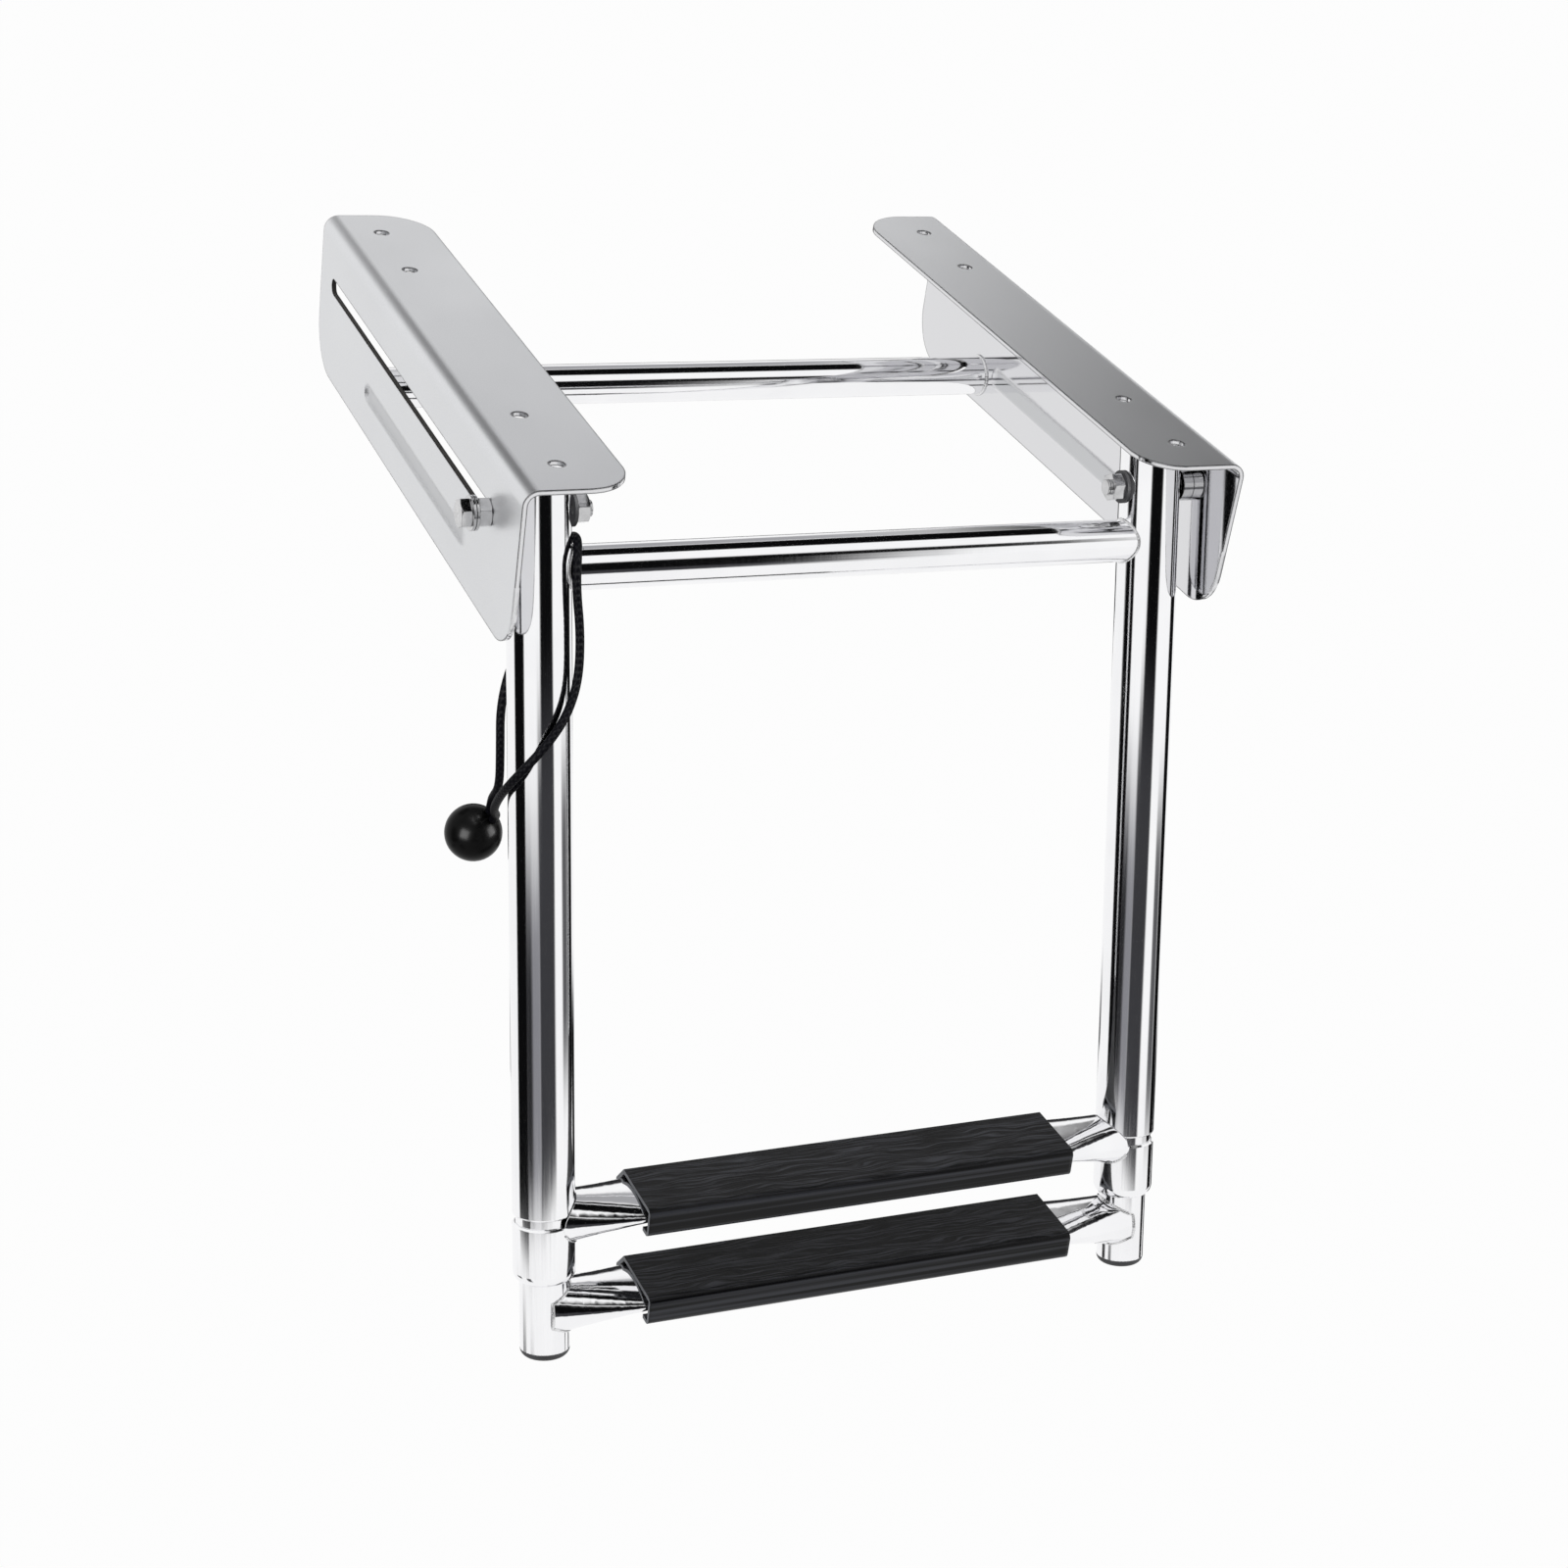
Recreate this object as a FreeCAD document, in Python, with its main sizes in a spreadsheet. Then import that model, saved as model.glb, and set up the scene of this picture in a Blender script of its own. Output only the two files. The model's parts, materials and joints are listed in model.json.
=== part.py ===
import FreeCAD, Part
import math
import os
import Sketcher

# Folding boat ladder for the underside of a swim platform, in millimetres.
# +X runs across the ladder, +Y from the user towards the boat and +Z up.
# The origin is the middle of the plane in which the two flanges meet the platform.
# The ladder hangs at the near end of the slots, telescoped together.

Vector = FreeCAD.Vector
Rotation = FreeCAD.Rotation
Placement = FreeCAD.Placement

document = FreeCAD.newDocument("FoldingBoatLadder")
sheet = document.addObject("Spreadsheet::Sheet", "Size")

# Driving sizes
SIZES = {
    # slide brackets bent from sheet
    "bracket_half_width": 190.9,
    "bracket_length": 370.0,
    "sheet_gauge": 2.5,
    "flange_width": 55.5,
    "plate_height": 85.0,
    "bend_radius": 5.5,
    "corner_near": 23.0,
    "corner_far": 28.0,
    "screw_hole": 8.0,
    "hole_inset": 24.9,
    "hole_end_land": 28.5,
    "hole_pitch": 58.0,
    "slot_near_land": 46.0,
    "slot_far_land": 28.0,
    "slot_drop": 31.5,
    "bead_near_land": 84.0,
    "bead_far_land": 107.0,
    "bead_drop": 61.5,
    "bead_width": 11.0,
    "bead_depth": 1.2,
    "bead_slope": 30.0,
    # crossbars
    "bar_outer": 22.2,
    "bar_wall": 1.5,
    "rear_bar_land": 84.0,
    "rear_bar_drop": 68.5,
    "front_bar_drop": 28.0,
    # pivot bolts
    "bolt_shank": 8.0,
    "bolt_play": 0.3,
    "head_across": 13.0,
    "head_height": 5.5,
    "nut_height": 6.5,
    "washer_outer": 17.0,
    "washer_height": 1.5,
    "washer_groove": 0.3,
    "nylon_height": 1.6,
    "hex_bevel": 30.0,
    "seat_play": 0.1,
    "bolt_end": 2.0,
    # legs
    "tilt": 18.0,
    "leg_outer": 31.8,
    "leg_gap": 5.9,
    "leg_wall": 1.2,
    "leg_bottom": 352.0,
    "leg_lip": 0.9,
    "stop_gap": 0.3,
    "stop_relief": 3.0,
    "plug_rise": 12.0,
    # telescoping stages
    "middle_outer": 28.6,
    "middle_wall": 1.2,
    "middle_top": 14.0,
    "lower_outer": 25.4,
    "lower_wall": 1.2,
    "lower_top": 22.0,
    "collar_gap": 4.5,
    "collar_length": 30.5,
    "collar_edge": 1.0,
    "shoulder_height": 5.0,
    "shoulder_inset": 2.5,
    "slip": 0.4,
    "foot_reach": 20.5,
    "cap_height": 4.2,
    "cap_depth": 12.0,
    # steps
    "step_spacing": 47.0,
    "step_rise": 5.0,
    "step_forward": 3.0,
    "step_pitch": 13.2,
    "arm_outer": 28.6,
    "arm_wall": 1.4,
    "flat_wide": 39.0,
    "flat_thick": 11.0,
    "flat_half_length": 116.0,
    "tread_half_length": 120.0,
    "tread_wall": 2.2,
    "tread_play": 0.3,
    "tread_lip": 8.0,
    "tread_back": 25.4,
    "tread_front": 23.5,
    "tread_corner": 3.5,
    "tread_bevel": 8.9,
    "bevel_drop": 2.2,
    # retaining cord with its ball
    "cord_outer": 4.3,
    "cord_gap": 0.4,
    "ball_outer": 29.6,
    "ball_seat": 13.8,
    "ball_side": 11.5,
    "ball_behind": 74.0,
    "ball_drop": 172.6,
    "ball_pitch": 36.9,
}

# Sizes worked out from the driving ones. A land is what is left from a bracket's end to
# the middle of a hole, a bar or the round end of a slot; the upper step's arms run level with
# the top of their collars.
DERIVED = {
    "plate_inside": "=bracket_half_width - sheet_gauge",
    "hole_column": "=bracket_half_width - hole_inset",
    "leg_radius": "=leg_outer / 2",
    "leg_x": "=plate_inside - leg_gap - leg_radius",
    "block": "=4 * leg_outer",
    "hole_row_outer": "=bracket_length / 2 - hole_end_land",
    "hole_row_inner": "=hole_row_outer - hole_pitch",
    "slot_near": "=slot_near_land - bracket_length / 2",
    "slot_far": "=bracket_length / 2 - slot_far_land",
    "slot_width": "=bolt_shank + 2 * bolt_play",
    "bead_near": "=bead_near_land - bracket_length / 2",
    "bead_far": "=bracket_length / 2 - bead_far_land",
    "rear_bar_y": "=bracket_length / 2 - rear_bar_land",
    "collar_top": "=leg_bottom + collar_gap",
    "collar_bottom": "=collar_top + collar_length",
    "stop_height": "=slot_drop - sheet_gauge - stop_gap",
    "stop_rear": "=(stop_height + leg_radius * sin(tilt)) / cos(tilt)",
    "upper_step_drop": "=collar_top",
    "lower_step_drop": "=upper_step_drop + step_spacing",
    "foot_drop": "=lower_step_drop + foot_reach",
    "bar_radius": "=bar_outer / 2",
    "shoulder_level": "=collar_bottom - shoulder_height",
    "shoulder_round": "=(shoulder_inset^2 + shoulder_height^2) / (2 * shoulder_inset)",
    "tread_high": "=flat_thick / 2 + tread_play + tread_wall",
    "bevel_height": "=tread_high + bevel_drop",
    "bevel_run": "=sqrt(tread_bevel^2 + bevel_height^2)",
}

for row, (alias, value) in enumerate(SIZES.items(), 1):
    sheet.set(f"A{row}", alias)
    sheet.set(f"B{row}", str(value))
    sheet.setAlias(f"B{row}", alias)
for row, (alias, formula) in enumerate(DERIVED.items(), 1):
    sheet.set(f"C{row}", alias)
    sheet.set(f"D{row}", formula)
    sheet.setAlias(f"D{row}", alias)
document.recompute()

nodes = []
SIDES = (("left", -1), ("right", 1))


def size(text):
    """A formula over the sheet's aliases, written with plain names."""
    out = ""
    word = ""
    for letter in text + " ":
        if letter.isalnum() or letter == "_":
            word += letter
            continue
        out += f"Size.{word}" if word in SIZES or word in DERIVED else word
        out += letter
        word = ""
    return out.strip()


def number(text):
    """The value of such a formula."""
    return float(sheet.evalExpression(size(text)))


def bind(item, **formulas):
    """Ties properties to the sheet; two underscores stand for a dot."""
    for key, text in formulas.items():
        item.setExpression(key.replace("__", "."), size(text))
    return item


def move(item, x="0", y="0", z="0", turn=None, axis=Vector(1, 0, 0)):
    """Ties a place to the sheet, with a turn about one axis."""
    if turn is not None:
        item.Placement = Placement(Vector(), Rotation(axis, number(turn)))
        bind(item, Placement__Rotation__Angle=turn)
    return bind(item, Placement__Base__x=x, Placement__Base__y=y, Placement__Base__z=z)


def post(name, radius, bottom, top, x="0", y="0"):
    """A round bar along Z from bottom to top."""
    bar = document.addObject("Part::Cylinder", name)
    bind(bar, Radius=radius, Height=f"({top}) - ({bottom})")
    return move(bar, x, y, bottom)


def rod(name, radius, start, end, y="0", z="0"):
    """A round bar along X from start to end."""
    bar = document.addObject("Part::Cylinder", name)
    bar.Placement = Placement(Vector(), Rotation(Vector(0, 1, 0), 90))
    bind(bar, Radius=radius, Height=f"({end}) - ({start})")
    return bind(bar, Placement__Base__x=start, Placement__Base__y=y, Placement__Base__z=z)


def between(side, near, far):
    """The ends along X, in rising order, of what lies from near to far on one side."""
    return (near, far) if side > 0 else (f"-({far})", f"-({near})")


def cut(name, base, *tools):
    """What is left of base without the tools."""
    for count, tool in enumerate(tools, 1):
        result = document.addObject("Part::Cut", f"{name}_cut_{count}")
        result.Base = base
        result.Tool = tool
        base = result
    return base


def fuse(name, *shapes):
    """One solid from several that meet."""
    result = document.addObject("Part::MultiFuse", name)
    result.Shapes = list(shapes)
    result.Refine = True
    return result


def finish(item, label):
    """Names a sub-part."""
    item.Label = label
    nodes.append(item)
    return item


def hang(item, label, x="0"):
    """Sets a sub-part drawn about the pivot, with its Z up the leg, into the tilted ladder."""
    move(item, x, "slot_near", "-slot_drop", turn="-tilt")
    return finish(item, label)


def outline(sketch, path):
    """A closed outline, bound to the sheet: each entry gives the point that a line goes to,
    or the point, centre and turn (1 is anticlockwise) of an arc that goes there."""
    last = path[-1]
    starts = [last, *path[:-1]]
    ends = []
    for start, end in zip(starts, path):
        a = Vector(number(start[0]), number(start[1]), 0)
        b = Vector(number(end[0]), number(end[1]), 0)
        if len(end) == 2:
            index = sketch.addGeometry(Part.LineSegment(a, b), False)
            ends.append((index, 1, 2, end, None))
            continue
        centre = Vector(number(end[2]), number(end[3]), 0)
        turn = end[4]
        first, second = (a, b) if turn > 0 else (b, a)
        circle = Part.Circle(centre, Vector(0, 0, 1), (a - centre).Length)
        angles = [math.atan2(p.y - centre.y, p.x - centre.x) for p in (first, second)]
        index = sketch.addGeometry(Part.ArcOfCircle(circle, *angles), False)
        level = abs(a.y - b.y) < 1e-6
        ends.append((index, 1 if turn > 0 else 2, 2 if turn > 0 else 1, end, level))
    for here, after in zip(ends, ends[1:] + ends[:1]):
        sketch.addConstraint(Sketcher.Constraint("Coincident", here[0], here[2], after[0], after[1]))
    for index, _, stop, end, level in ends:
        pin(sketch, "DistanceX", index, stop, end[0])
        pin(sketch, "DistanceY", index, stop, end[1])
        if level is not None:
            kind = "DistanceY" if level else "DistanceX"
            pin(sketch, kind, index, 3, end[3] if level else end[2])
    return sketch


def pin(sketch, kind, index, point, text):
    """Holds one coordinate of a point at a formula's value."""
    made = sketch.addConstraint(Sketcher.Constraint(kind, -1, 1, index, point, number(text)))
    sketch.setExpression(f"Constraints[{made}]", size(text))


def ring(sketch, radius, x, y):
    """A circle bound to the sheet."""
    circle = Part.Circle(Vector(number(x), number(y), 0), Vector(0, 0, 1), number(radius))
    index = sketch.addGeometry(circle, False)
    pin(sketch, "DistanceX", index, 3, x)
    pin(sketch, "DistanceY", index, 3, y)
    made = sketch.addConstraint(Sketcher.Constraint("Radius", index, number(radius)))
    sketch.setExpression(f"Constraints[{made}]", size(radius))


def sketch_on(body, name, plane, offset="0"):
    """An empty sketch on one of the body's own planes, shifted along its normal."""
    support = [f for f in body.Origin.OriginFeatures if f.Role == plane][0]
    sketch = body.newObject("Sketcher::SketchObject", name)
    sketch.AttachmentSupport = [(support, "")]
    sketch.MapMode = "FlatFace"
    sketch.setExpression("AttachmentOffset.Base.z", size(offset))
    return sketch


def feature(body, kind, name, profile, length=None, **values):
    """A pad, pocket or revolution from a sketch."""
    made = body.newObject(f"PartDesign::{kind}", name)
    made.Profile = profile
    for key, value in values.items():
        setattr(made, key, value)
    if length is not None:
        bind(made, Length=length)
    document.recompute()
    return made


def turned(name, path):
    """A solid turned about Z from its outline, drawn as radius and height."""
    body = document.addObject("PartDesign::Body", name)
    profile = outline(sketch_on(body, f"{name}_profile", "XZ_Plane"), path)
    made = feature(body, "Revolution", f"{name}_turned", profile, Angle=360.0)
    made.ReferenceAxis = (profile, ["V_Axis"])
    return body


def stadium(left, right, middle, width):
    """The outline of a slot with round ends, from its two end centres."""
    low = f"({middle}) - ({width}) / 2"
    high = f"({middle}) + ({width}) / 2"
    return [
        (right, low),
        (right, high, right, middle, 1),
        (left, high),
        (left, low, left, middle, 1),
    ]


def corner(along, up, radius, along_sign, up_sign):
    """What a round corner takes off a square one, the corner being at (along, up)."""
    inner_along = f"({along}) - ({along_sign}) * ({radius})"
    inner_up = f"({up}) - ({up_sign}) * ({radius})"
    turn = along_sign * up_sign
    return [
        (inner_along, up),
        (along, inner_up, inner_along, inner_up, -turn),
        (f"({along}) + ({along_sign}) * ({radius})", inner_up),
        (f"({along}) + ({along_sign}) * ({radius})", f"({up}) + ({up_sign}) * ({radius})"),
        (inner_along, f"({up}) + ({up_sign}) * ({radius})"),
    ]


# Slide brackets: an L of bent sheet, slotted for the pivot bolt and stiffened by a pressed bead
for side_name, side in SIDES:
    label = f"{side_name}_bracket"
    body = document.addObject("PartDesign::Body", label)
    across = f"{side} * "
    free = across + "(bracket_half_width - flange_width)"
    bend = across + "(bracket_half_width - sheet_gauge - bend_radius)"
    face = across + "bracket_half_width"
    inside = across + "plate_inside"
    bend_drop = "-(sheet_gauge + bend_radius)"
    profile = sketch_on(body, f"{label}_profile", "XZ_Plane")
    outline(profile, [
        (bend, "0"),
        (face, bend_drop, bend, bend_drop, -side),
        (face, "-plate_height"),
        (inside, "-plate_height"),
        (inside, bend_drop),
        (bend, "-sheet_gauge", bend, bend_drop, side),
        (free, "-sheet_gauge"),
        (free, "0"),
    ])
    feature(body, "Pad", f"{label}_pad", profile, "bracket_length", Midplane=True)

    slot = sketch_on(body, f"{label}_slot", "YZ_Plane")
    outline(slot, stadium("slot_near", "slot_far", "-slot_drop", "slot_width"))
    feature(body, "Pocket", f"{label}_slot_cut", slot, "3 * bracket_half_width", Midplane=True)

    holes = sketch_on(body, f"{label}_holes", "XY_Plane")
    for row_sign in (-1, 1):
        for row in ("hole_row_inner", "hole_row_outer"):
            ring(holes, "screw_hole / 2", across + "hole_column", f"{row_sign} * {row}")
    feature(body, "Pocket", f"{label}_hole_cut", holes, "4 * sheet_gauge", Midplane=True)

    for end, radius, end_sign in (("near", "corner_near", -1), ("far", "corner_far", 1)):
        edge = f"{end_sign} * bracket_length / 2"
        lower = sketch_on(body, f"{label}_{end}_lower", "YZ_Plane")
        outline(lower, corner(edge, "-plate_height", radius, end_sign, -1))
        feature(body, "Pocket", f"{label}_{end}_lower_cut", lower, "3 * bracket_half_width",
                Midplane=True)
        top = sketch_on(body, f"{label}_{end}_top", "XY_Plane")
        outline(top, corner(free, edge, radius, -side, end_sign))
        feature(body, "Pocket", f"{label}_{end}_top_cut", top, "4 * sheet_gauge", Midplane=True)

    raised = sketch_on(body, f"{label}_bead", "YZ_Plane", inside)
    outline(raised, stadium("bead_near", "bead_far", "-bead_drop", "bead_width"))
    pad = feature(body, "Pad", f"{label}_bead_pad", raised, "bead_depth", Reversed=side > 0)
    bind(pad, TaperAngle="-bead_slope")
    sunk = sketch_on(body, f"{label}_groove", "YZ_Plane", face)
    outline(sunk, stadium("bead_near", "bead_far", "-bead_drop", "bead_width - sheet_gauge / 2"))
    pocket = feature(body, "Pocket", f"{label}_groove_cut", sunk, "bead_depth", Reversed=side < 0)
    bind(pocket, TaperAngle="-bead_slope")
    document.recompute()
    finish(body, label)

# Rear crossbar, welded between the plates
rear_bar = cut(
    "rear_bar",
    rod("rear_bar_outside", "bar_radius", "-plate_inside", "plate_inside"),
    rod("rear_bar_bore", "bar_radius - bar_wall", "-plate_inside", "plate_inside"),
)
move(rear_bar, "0", "rear_bar_y", "-rear_bar_drop")
finish(rear_bar, "rear_crossbar")


def common(name, first, second):
    """What two solids share."""
    made = document.addObject("Part::Common", name)
    made.Base = first
    made.Tool = second
    return made


def disc(name, side, radius, near, far):
    """A round plate on a pivot bolt, from near to far from the ladder's middle."""
    return rod(name, radius, *between(side, near, far), "slot_near", "-slot_drop")


def bored(name, side, item, near, far):
    """The same with the bolt's hole in it."""
    return cut(name, item, disc(f"{name}_hole", side, "bolt_shank / 2", near, far))


def hexagon(name, side, near, far):
    """A bolt head or nut: a six-sided prism with its corners turned off at both ends."""
    start, end = between(side, near, far)
    height = f"({end}) - ({start})"
    rim = "head_across / 2"
    wide = f"{rim} + ({height}) / tan(hex_bevel)"
    prism = document.addObject("Part::Prism", f"{name}_prism")
    prism.Polygon = 6
    bind(prism, Circumradius="head_across / (2 * cos(30))", Height=height)
    shapes = [prism]
    for end_name, first, last in (("start", rim, wide), ("end", wide, rim)):
        cone = document.addObject("Part::Cone", f"{name}_{end_name}_cone")
        bind(cone, Radius1=first, Radius2=last, Height=height)
        shapes.append(cone)
    for shape in shapes:
        shape.Placement = Placement(Vector(), Rotation(Vector(0, 1, 0), 90))
        bind(shape, Placement__Base__x=start, Placement__Base__y="slot_near",
             Placement__Base__z="-slot_drop")
    return common(f"{name}_end", common(f"{name}_start", prism, shapes[1]), shapes[2])


# Pivot bolts. From outside in: head, two washers, a nut against the plate, a spacer ring
# between plate and leg, and inside the leg a nylon washer and the end nut
for side_name, side in SIDES:
    clamp_start = "bracket_half_width + seat_play"
    clamp_end = f"{clamp_start} + nut_height"
    washer_end = f"{clamp_end} + 2 * washer_height"
    head_end = f"{washer_end} + head_height"
    spacer_start = "leg_x + leg_radius + seat_play"
    spacer_end = "plate_inside - seat_play"
    nylon_end = "leg_x - leg_radius - seat_play"
    nylon_start = f"{nylon_end} - nylon_height"
    nut_end = f"{nylon_start} - seat_play"
    nut_start = f"{nut_end} - nut_height"
    tail = f"{nut_start} - bolt_end"

    bolt = fuse(
        f"{side_name}_bolt_solid",
        disc(f"{side_name}_shank", side, "bolt_shank / 2", tail, head_end),
        hexagon(f"{side_name}_head", side, washer_end, head_end),
    )
    finish(bolt, f"{side_name}_pivot_bolt")

    rim = "washer_outer / 2"
    first_end = f"{clamp_end} + washer_height - washer_groove / 2"
    second_start = f"{clamp_end} + washer_height + washer_groove / 2"
    pair = fuse(
        f"{side_name}_washer_pair",
        disc(f"{side_name}_first_washer", side, rim, clamp_end, first_end),
        disc(f"{side_name}_washer_neck", side, f"{rim} - washer_height", clamp_end, washer_end),
        disc(f"{side_name}_second_washer", side, rim, second_start, washer_end),
    )
    washers = bored(f"{side_name}_washers", side, pair, clamp_end, washer_end)
    finish(washers, f"{side_name}_outer_washers")

    nut = hexagon(f"{side_name}_clamp_hex", side, clamp_start, clamp_end)
    finish(bored(f"{side_name}_clamp", side, nut, clamp_start, clamp_end), f"{side_name}_clamp_nut")

    spacer = disc(f"{side_name}_spacer_disc", side, rim, spacer_start, spacer_end)
    spacer = bored(f"{side_name}_spacer", side, spacer, spacer_start, spacer_end)
    finish(spacer, f"{side_name}_spacer_ring")

    nylon = disc(f"{side_name}_nylon_disc", side, rim, nylon_start, nylon_end)
    nylon = bored(f"{side_name}_nylon", side, nylon, nylon_start, nylon_end)
    finish(nylon, f"{side_name}_nylon_washer")

    nut = hexagon(f"{side_name}_end_hex", side, nut_start, nut_end)
    finish(bored(f"{side_name}_end", side, nut, nut_start, nut_end), f"{side_name}_end_nut")


def top_cutter(name, below="0"):
    """All above the slanted leg top, which meets the flange when the ladder hangs."""
    block = document.addObject("Part::Box", name)
    bind(block, Length="block", Width="2 * block", Height="block")
    turn = "tilt + stop_relief"
    back = f"leg_radius - block * cos({turn})"
    low = f"stop_rear - {below} - block * sin({turn})"
    return move(block, "-block / 2", back, low, turn=turn)


# Upper legs, their top plugs and the front crossbar between them
for side_name, side in SIDES:
    name = f"{side_name}_leg"
    lip = "leg_radius - leg_lip"
    lip_level = "-leg_bottom + leg_lip"
    tube = turned(f"{name}_tube", [
        ("leg_radius - leg_wall", "block"),
        ("leg_radius - leg_wall", "-leg_bottom"),
        (lip, "-leg_bottom"),
        ("leg_radius", lip_level, lip, lip_level, 1),
        ("leg_radius", "block"),
    ])
    leg = cut(
        name,
        tube,
        rod(f"{name}_bolt_hole", "slot_width / 2", "-leg_outer", "leg_outer"),
        top_cutter(f"{name}_top"),
    )
    hang(leg, f"{side_name}_upper_leg", f"{side} * leg_x")

    plug = cut(
        f"{name}_plug",
        post(f"{name}_plug_outside", "leg_radius - leg_wall", "slot_width / 2 + plug_rise",
             "block"),
        top_cutter(f"{name}_plug_top", "stop_gap"),
    )
    hang(plug, f"{side_name}_top_plug", f"{side} * leg_x")

front_bar = cut(
    "front_bar",
    rod("front_bar_outside", "bar_radius", "-leg_x", "leg_x", "0", "-front_bar_drop"),
    rod("front_bar_bore", "bar_radius - bar_wall", "-leg_x", "leg_x", "0", "-front_bar_drop"),
    post("front_bar_left_leg", "leg_radius", "-leg_bottom", "0", "-leg_x"),
    post("front_bar_right_leg", "leg_radius", "-leg_bottom", "0", "leg_x"),
)
hang(front_bar, "front_crossbar")

# Middle stage tubes with their collars, and lower stage tubes with their foot caps
for side_name, side in SIDES:
    place = f"{side} * leg_x"
    name = f"{side_name}_middle"
    shoulder = "-shoulder_level"
    middle = cut(
        name,
        post(f"{name}_outside", "middle_outer / 2", shoulder, "-middle_top"),
        post(f"{name}_bore", "middle_outer / 2 - middle_wall", shoulder, "-middle_top"),
    )
    hang(middle, f"{side_name}_middle_tube", place)

    label = f"{side_name}_collar"
    bore = "lower_outer / 2 + slip"
    collar = turned(label, [
        ("middle_outer / 2", "-collar_top"),
        ("middle_outer / 2", shoulder),
        (bore, shoulder),
        (bore, "-collar_bottom"),
        ("leg_radius - shoulder_inset", "-collar_bottom"),
        ("leg_radius", shoulder, "leg_radius - shoulder_round", shoulder, 1),
        ("leg_radius", "-collar_top - collar_edge"),
        ("leg_radius - collar_edge", "-collar_top"),
    ])
    hang(collar, label, place)

    name = f"{side_name}_lower"
    lower = cut(
        name,
        post(f"{name}_outside", "lower_outer / 2", "-foot_drop", "-lower_top"),
        post(f"{name}_bore", "lower_outer / 2 - lower_wall", "-foot_drop", "-lower_top"),
    )
    hang(lower, f"{side_name}_lower_tube", place)

    label = f"{side_name}_foot_cap"
    cap = turned(label, [
        ("0", "-foot_drop - cap_height"),
        ("lower_outer / 2 - cap_height", "-foot_drop - cap_height"),
        ("lower_outer / 2", "-foot_drop", "lower_outer / 2 - cap_height", "-foot_drop", 1),
        ("lower_outer / 2 - lower_wall", "-foot_drop"),
        ("lower_outer / 2 - lower_wall", "-foot_drop + cap_depth"),
        ("0", "-foot_drop + cap_depth"),
    ])
    hang(cap, label, place)


def section(name, x, wide, thick, y="0", z="0"):
    """An oval across the step at x; equal sizes make it round."""
    oval = document.addObject("Part::Ellipse", name)
    oval.Placement = Placement(Vector(), Rotation(Vector(1, 1, 1), 120))
    bind(oval, MajorRadius=f"({wide}) / 2", MinorRadius=f"({thick}) / 2")
    return bind(oval, Placement__Base__x=x, Placement__Base__y=y, Placement__Base__z=z)


def loft(name, first, second):
    """A solid between two sections."""
    made = document.addObject("Part::Loft", name)
    made.Sections = [first, second]
    made.Solid = True
    made.Ruled = True
    return made


# Each step is drawn about the middle of its flattened tube, with Z square to the tread.
# An oval keeps this little between its two sizes where the arm is round.
OUT_OF_ROUND = 0.001
ARM_Y = "(step_forward * cos(step_pitch) - step_rise * sin(step_pitch))"
ARM_Z = "(-step_forward * sin(step_pitch) - step_rise * cos(step_pitch))"


def step_solid(name, inset):
    """The step's tube, less a wall of inset: round at the legs and flattened under the tread."""
    round_size = f"arm_outer - 2 * ({inset})"
    wide = f"flat_wide - 2 * ({inset})"
    thick = f"flat_thick - 2 * ({inset})"
    pieces = []
    for tag, sign in (("left", -1), ("right", 1)):
        outer = section(f"{name}_{tag}_round", f"{sign} * leg_x", round_size,
                        f"{round_size} - {OUT_OF_ROUND}", ARM_Y, ARM_Z)
        inner = section(f"{name}_{tag}_oval", f"{sign} * flat_half_length", wide, thick)
        pieces.append(loft(f"{name}_{tag}_arm", outer, inner))
    left = section(f"{name}_flat_left", "-flat_half_length", wide, thick)
    right = section(f"{name}_flat_right", "flat_half_length", wide, thick)
    pieces.append(loft(f"{name}_flat", left, right))
    return fuse(f"{name}_fused", *pieces)


def leg_tool(name, radius, sign, start, end):
    """A leg's cylinder as seen from the step's own frame, from start to end up the leg,
    measured from the arm's axis."""
    tool = document.addObject("Part::Cylinder", name)
    bind(tool, Radius=radius, Height=f"({end}) - ({start})")
    y = f"{ARM_Y} + ({start}) * sin(step_pitch)"
    z = f"{ARM_Z} + ({start}) * cos(step_pitch)"
    return move(tool, f"{sign} * leg_x", y, z, turn="-step_pitch")


def set_step(item, label, drop):
    """Places what is drawn in a step's frame."""
    inward = "(-step_forward)"
    up = f"(step_rise - {drop})"
    y = f"slot_near + {inward} * cos(tilt) + {up} * sin(tilt)"
    z = f"-slot_drop - {inward} * sin(tilt) + {up} * cos(tilt)"
    move(item, "0", y, z, turn="step_pitch - tilt")
    return finish(item, label)


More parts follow.
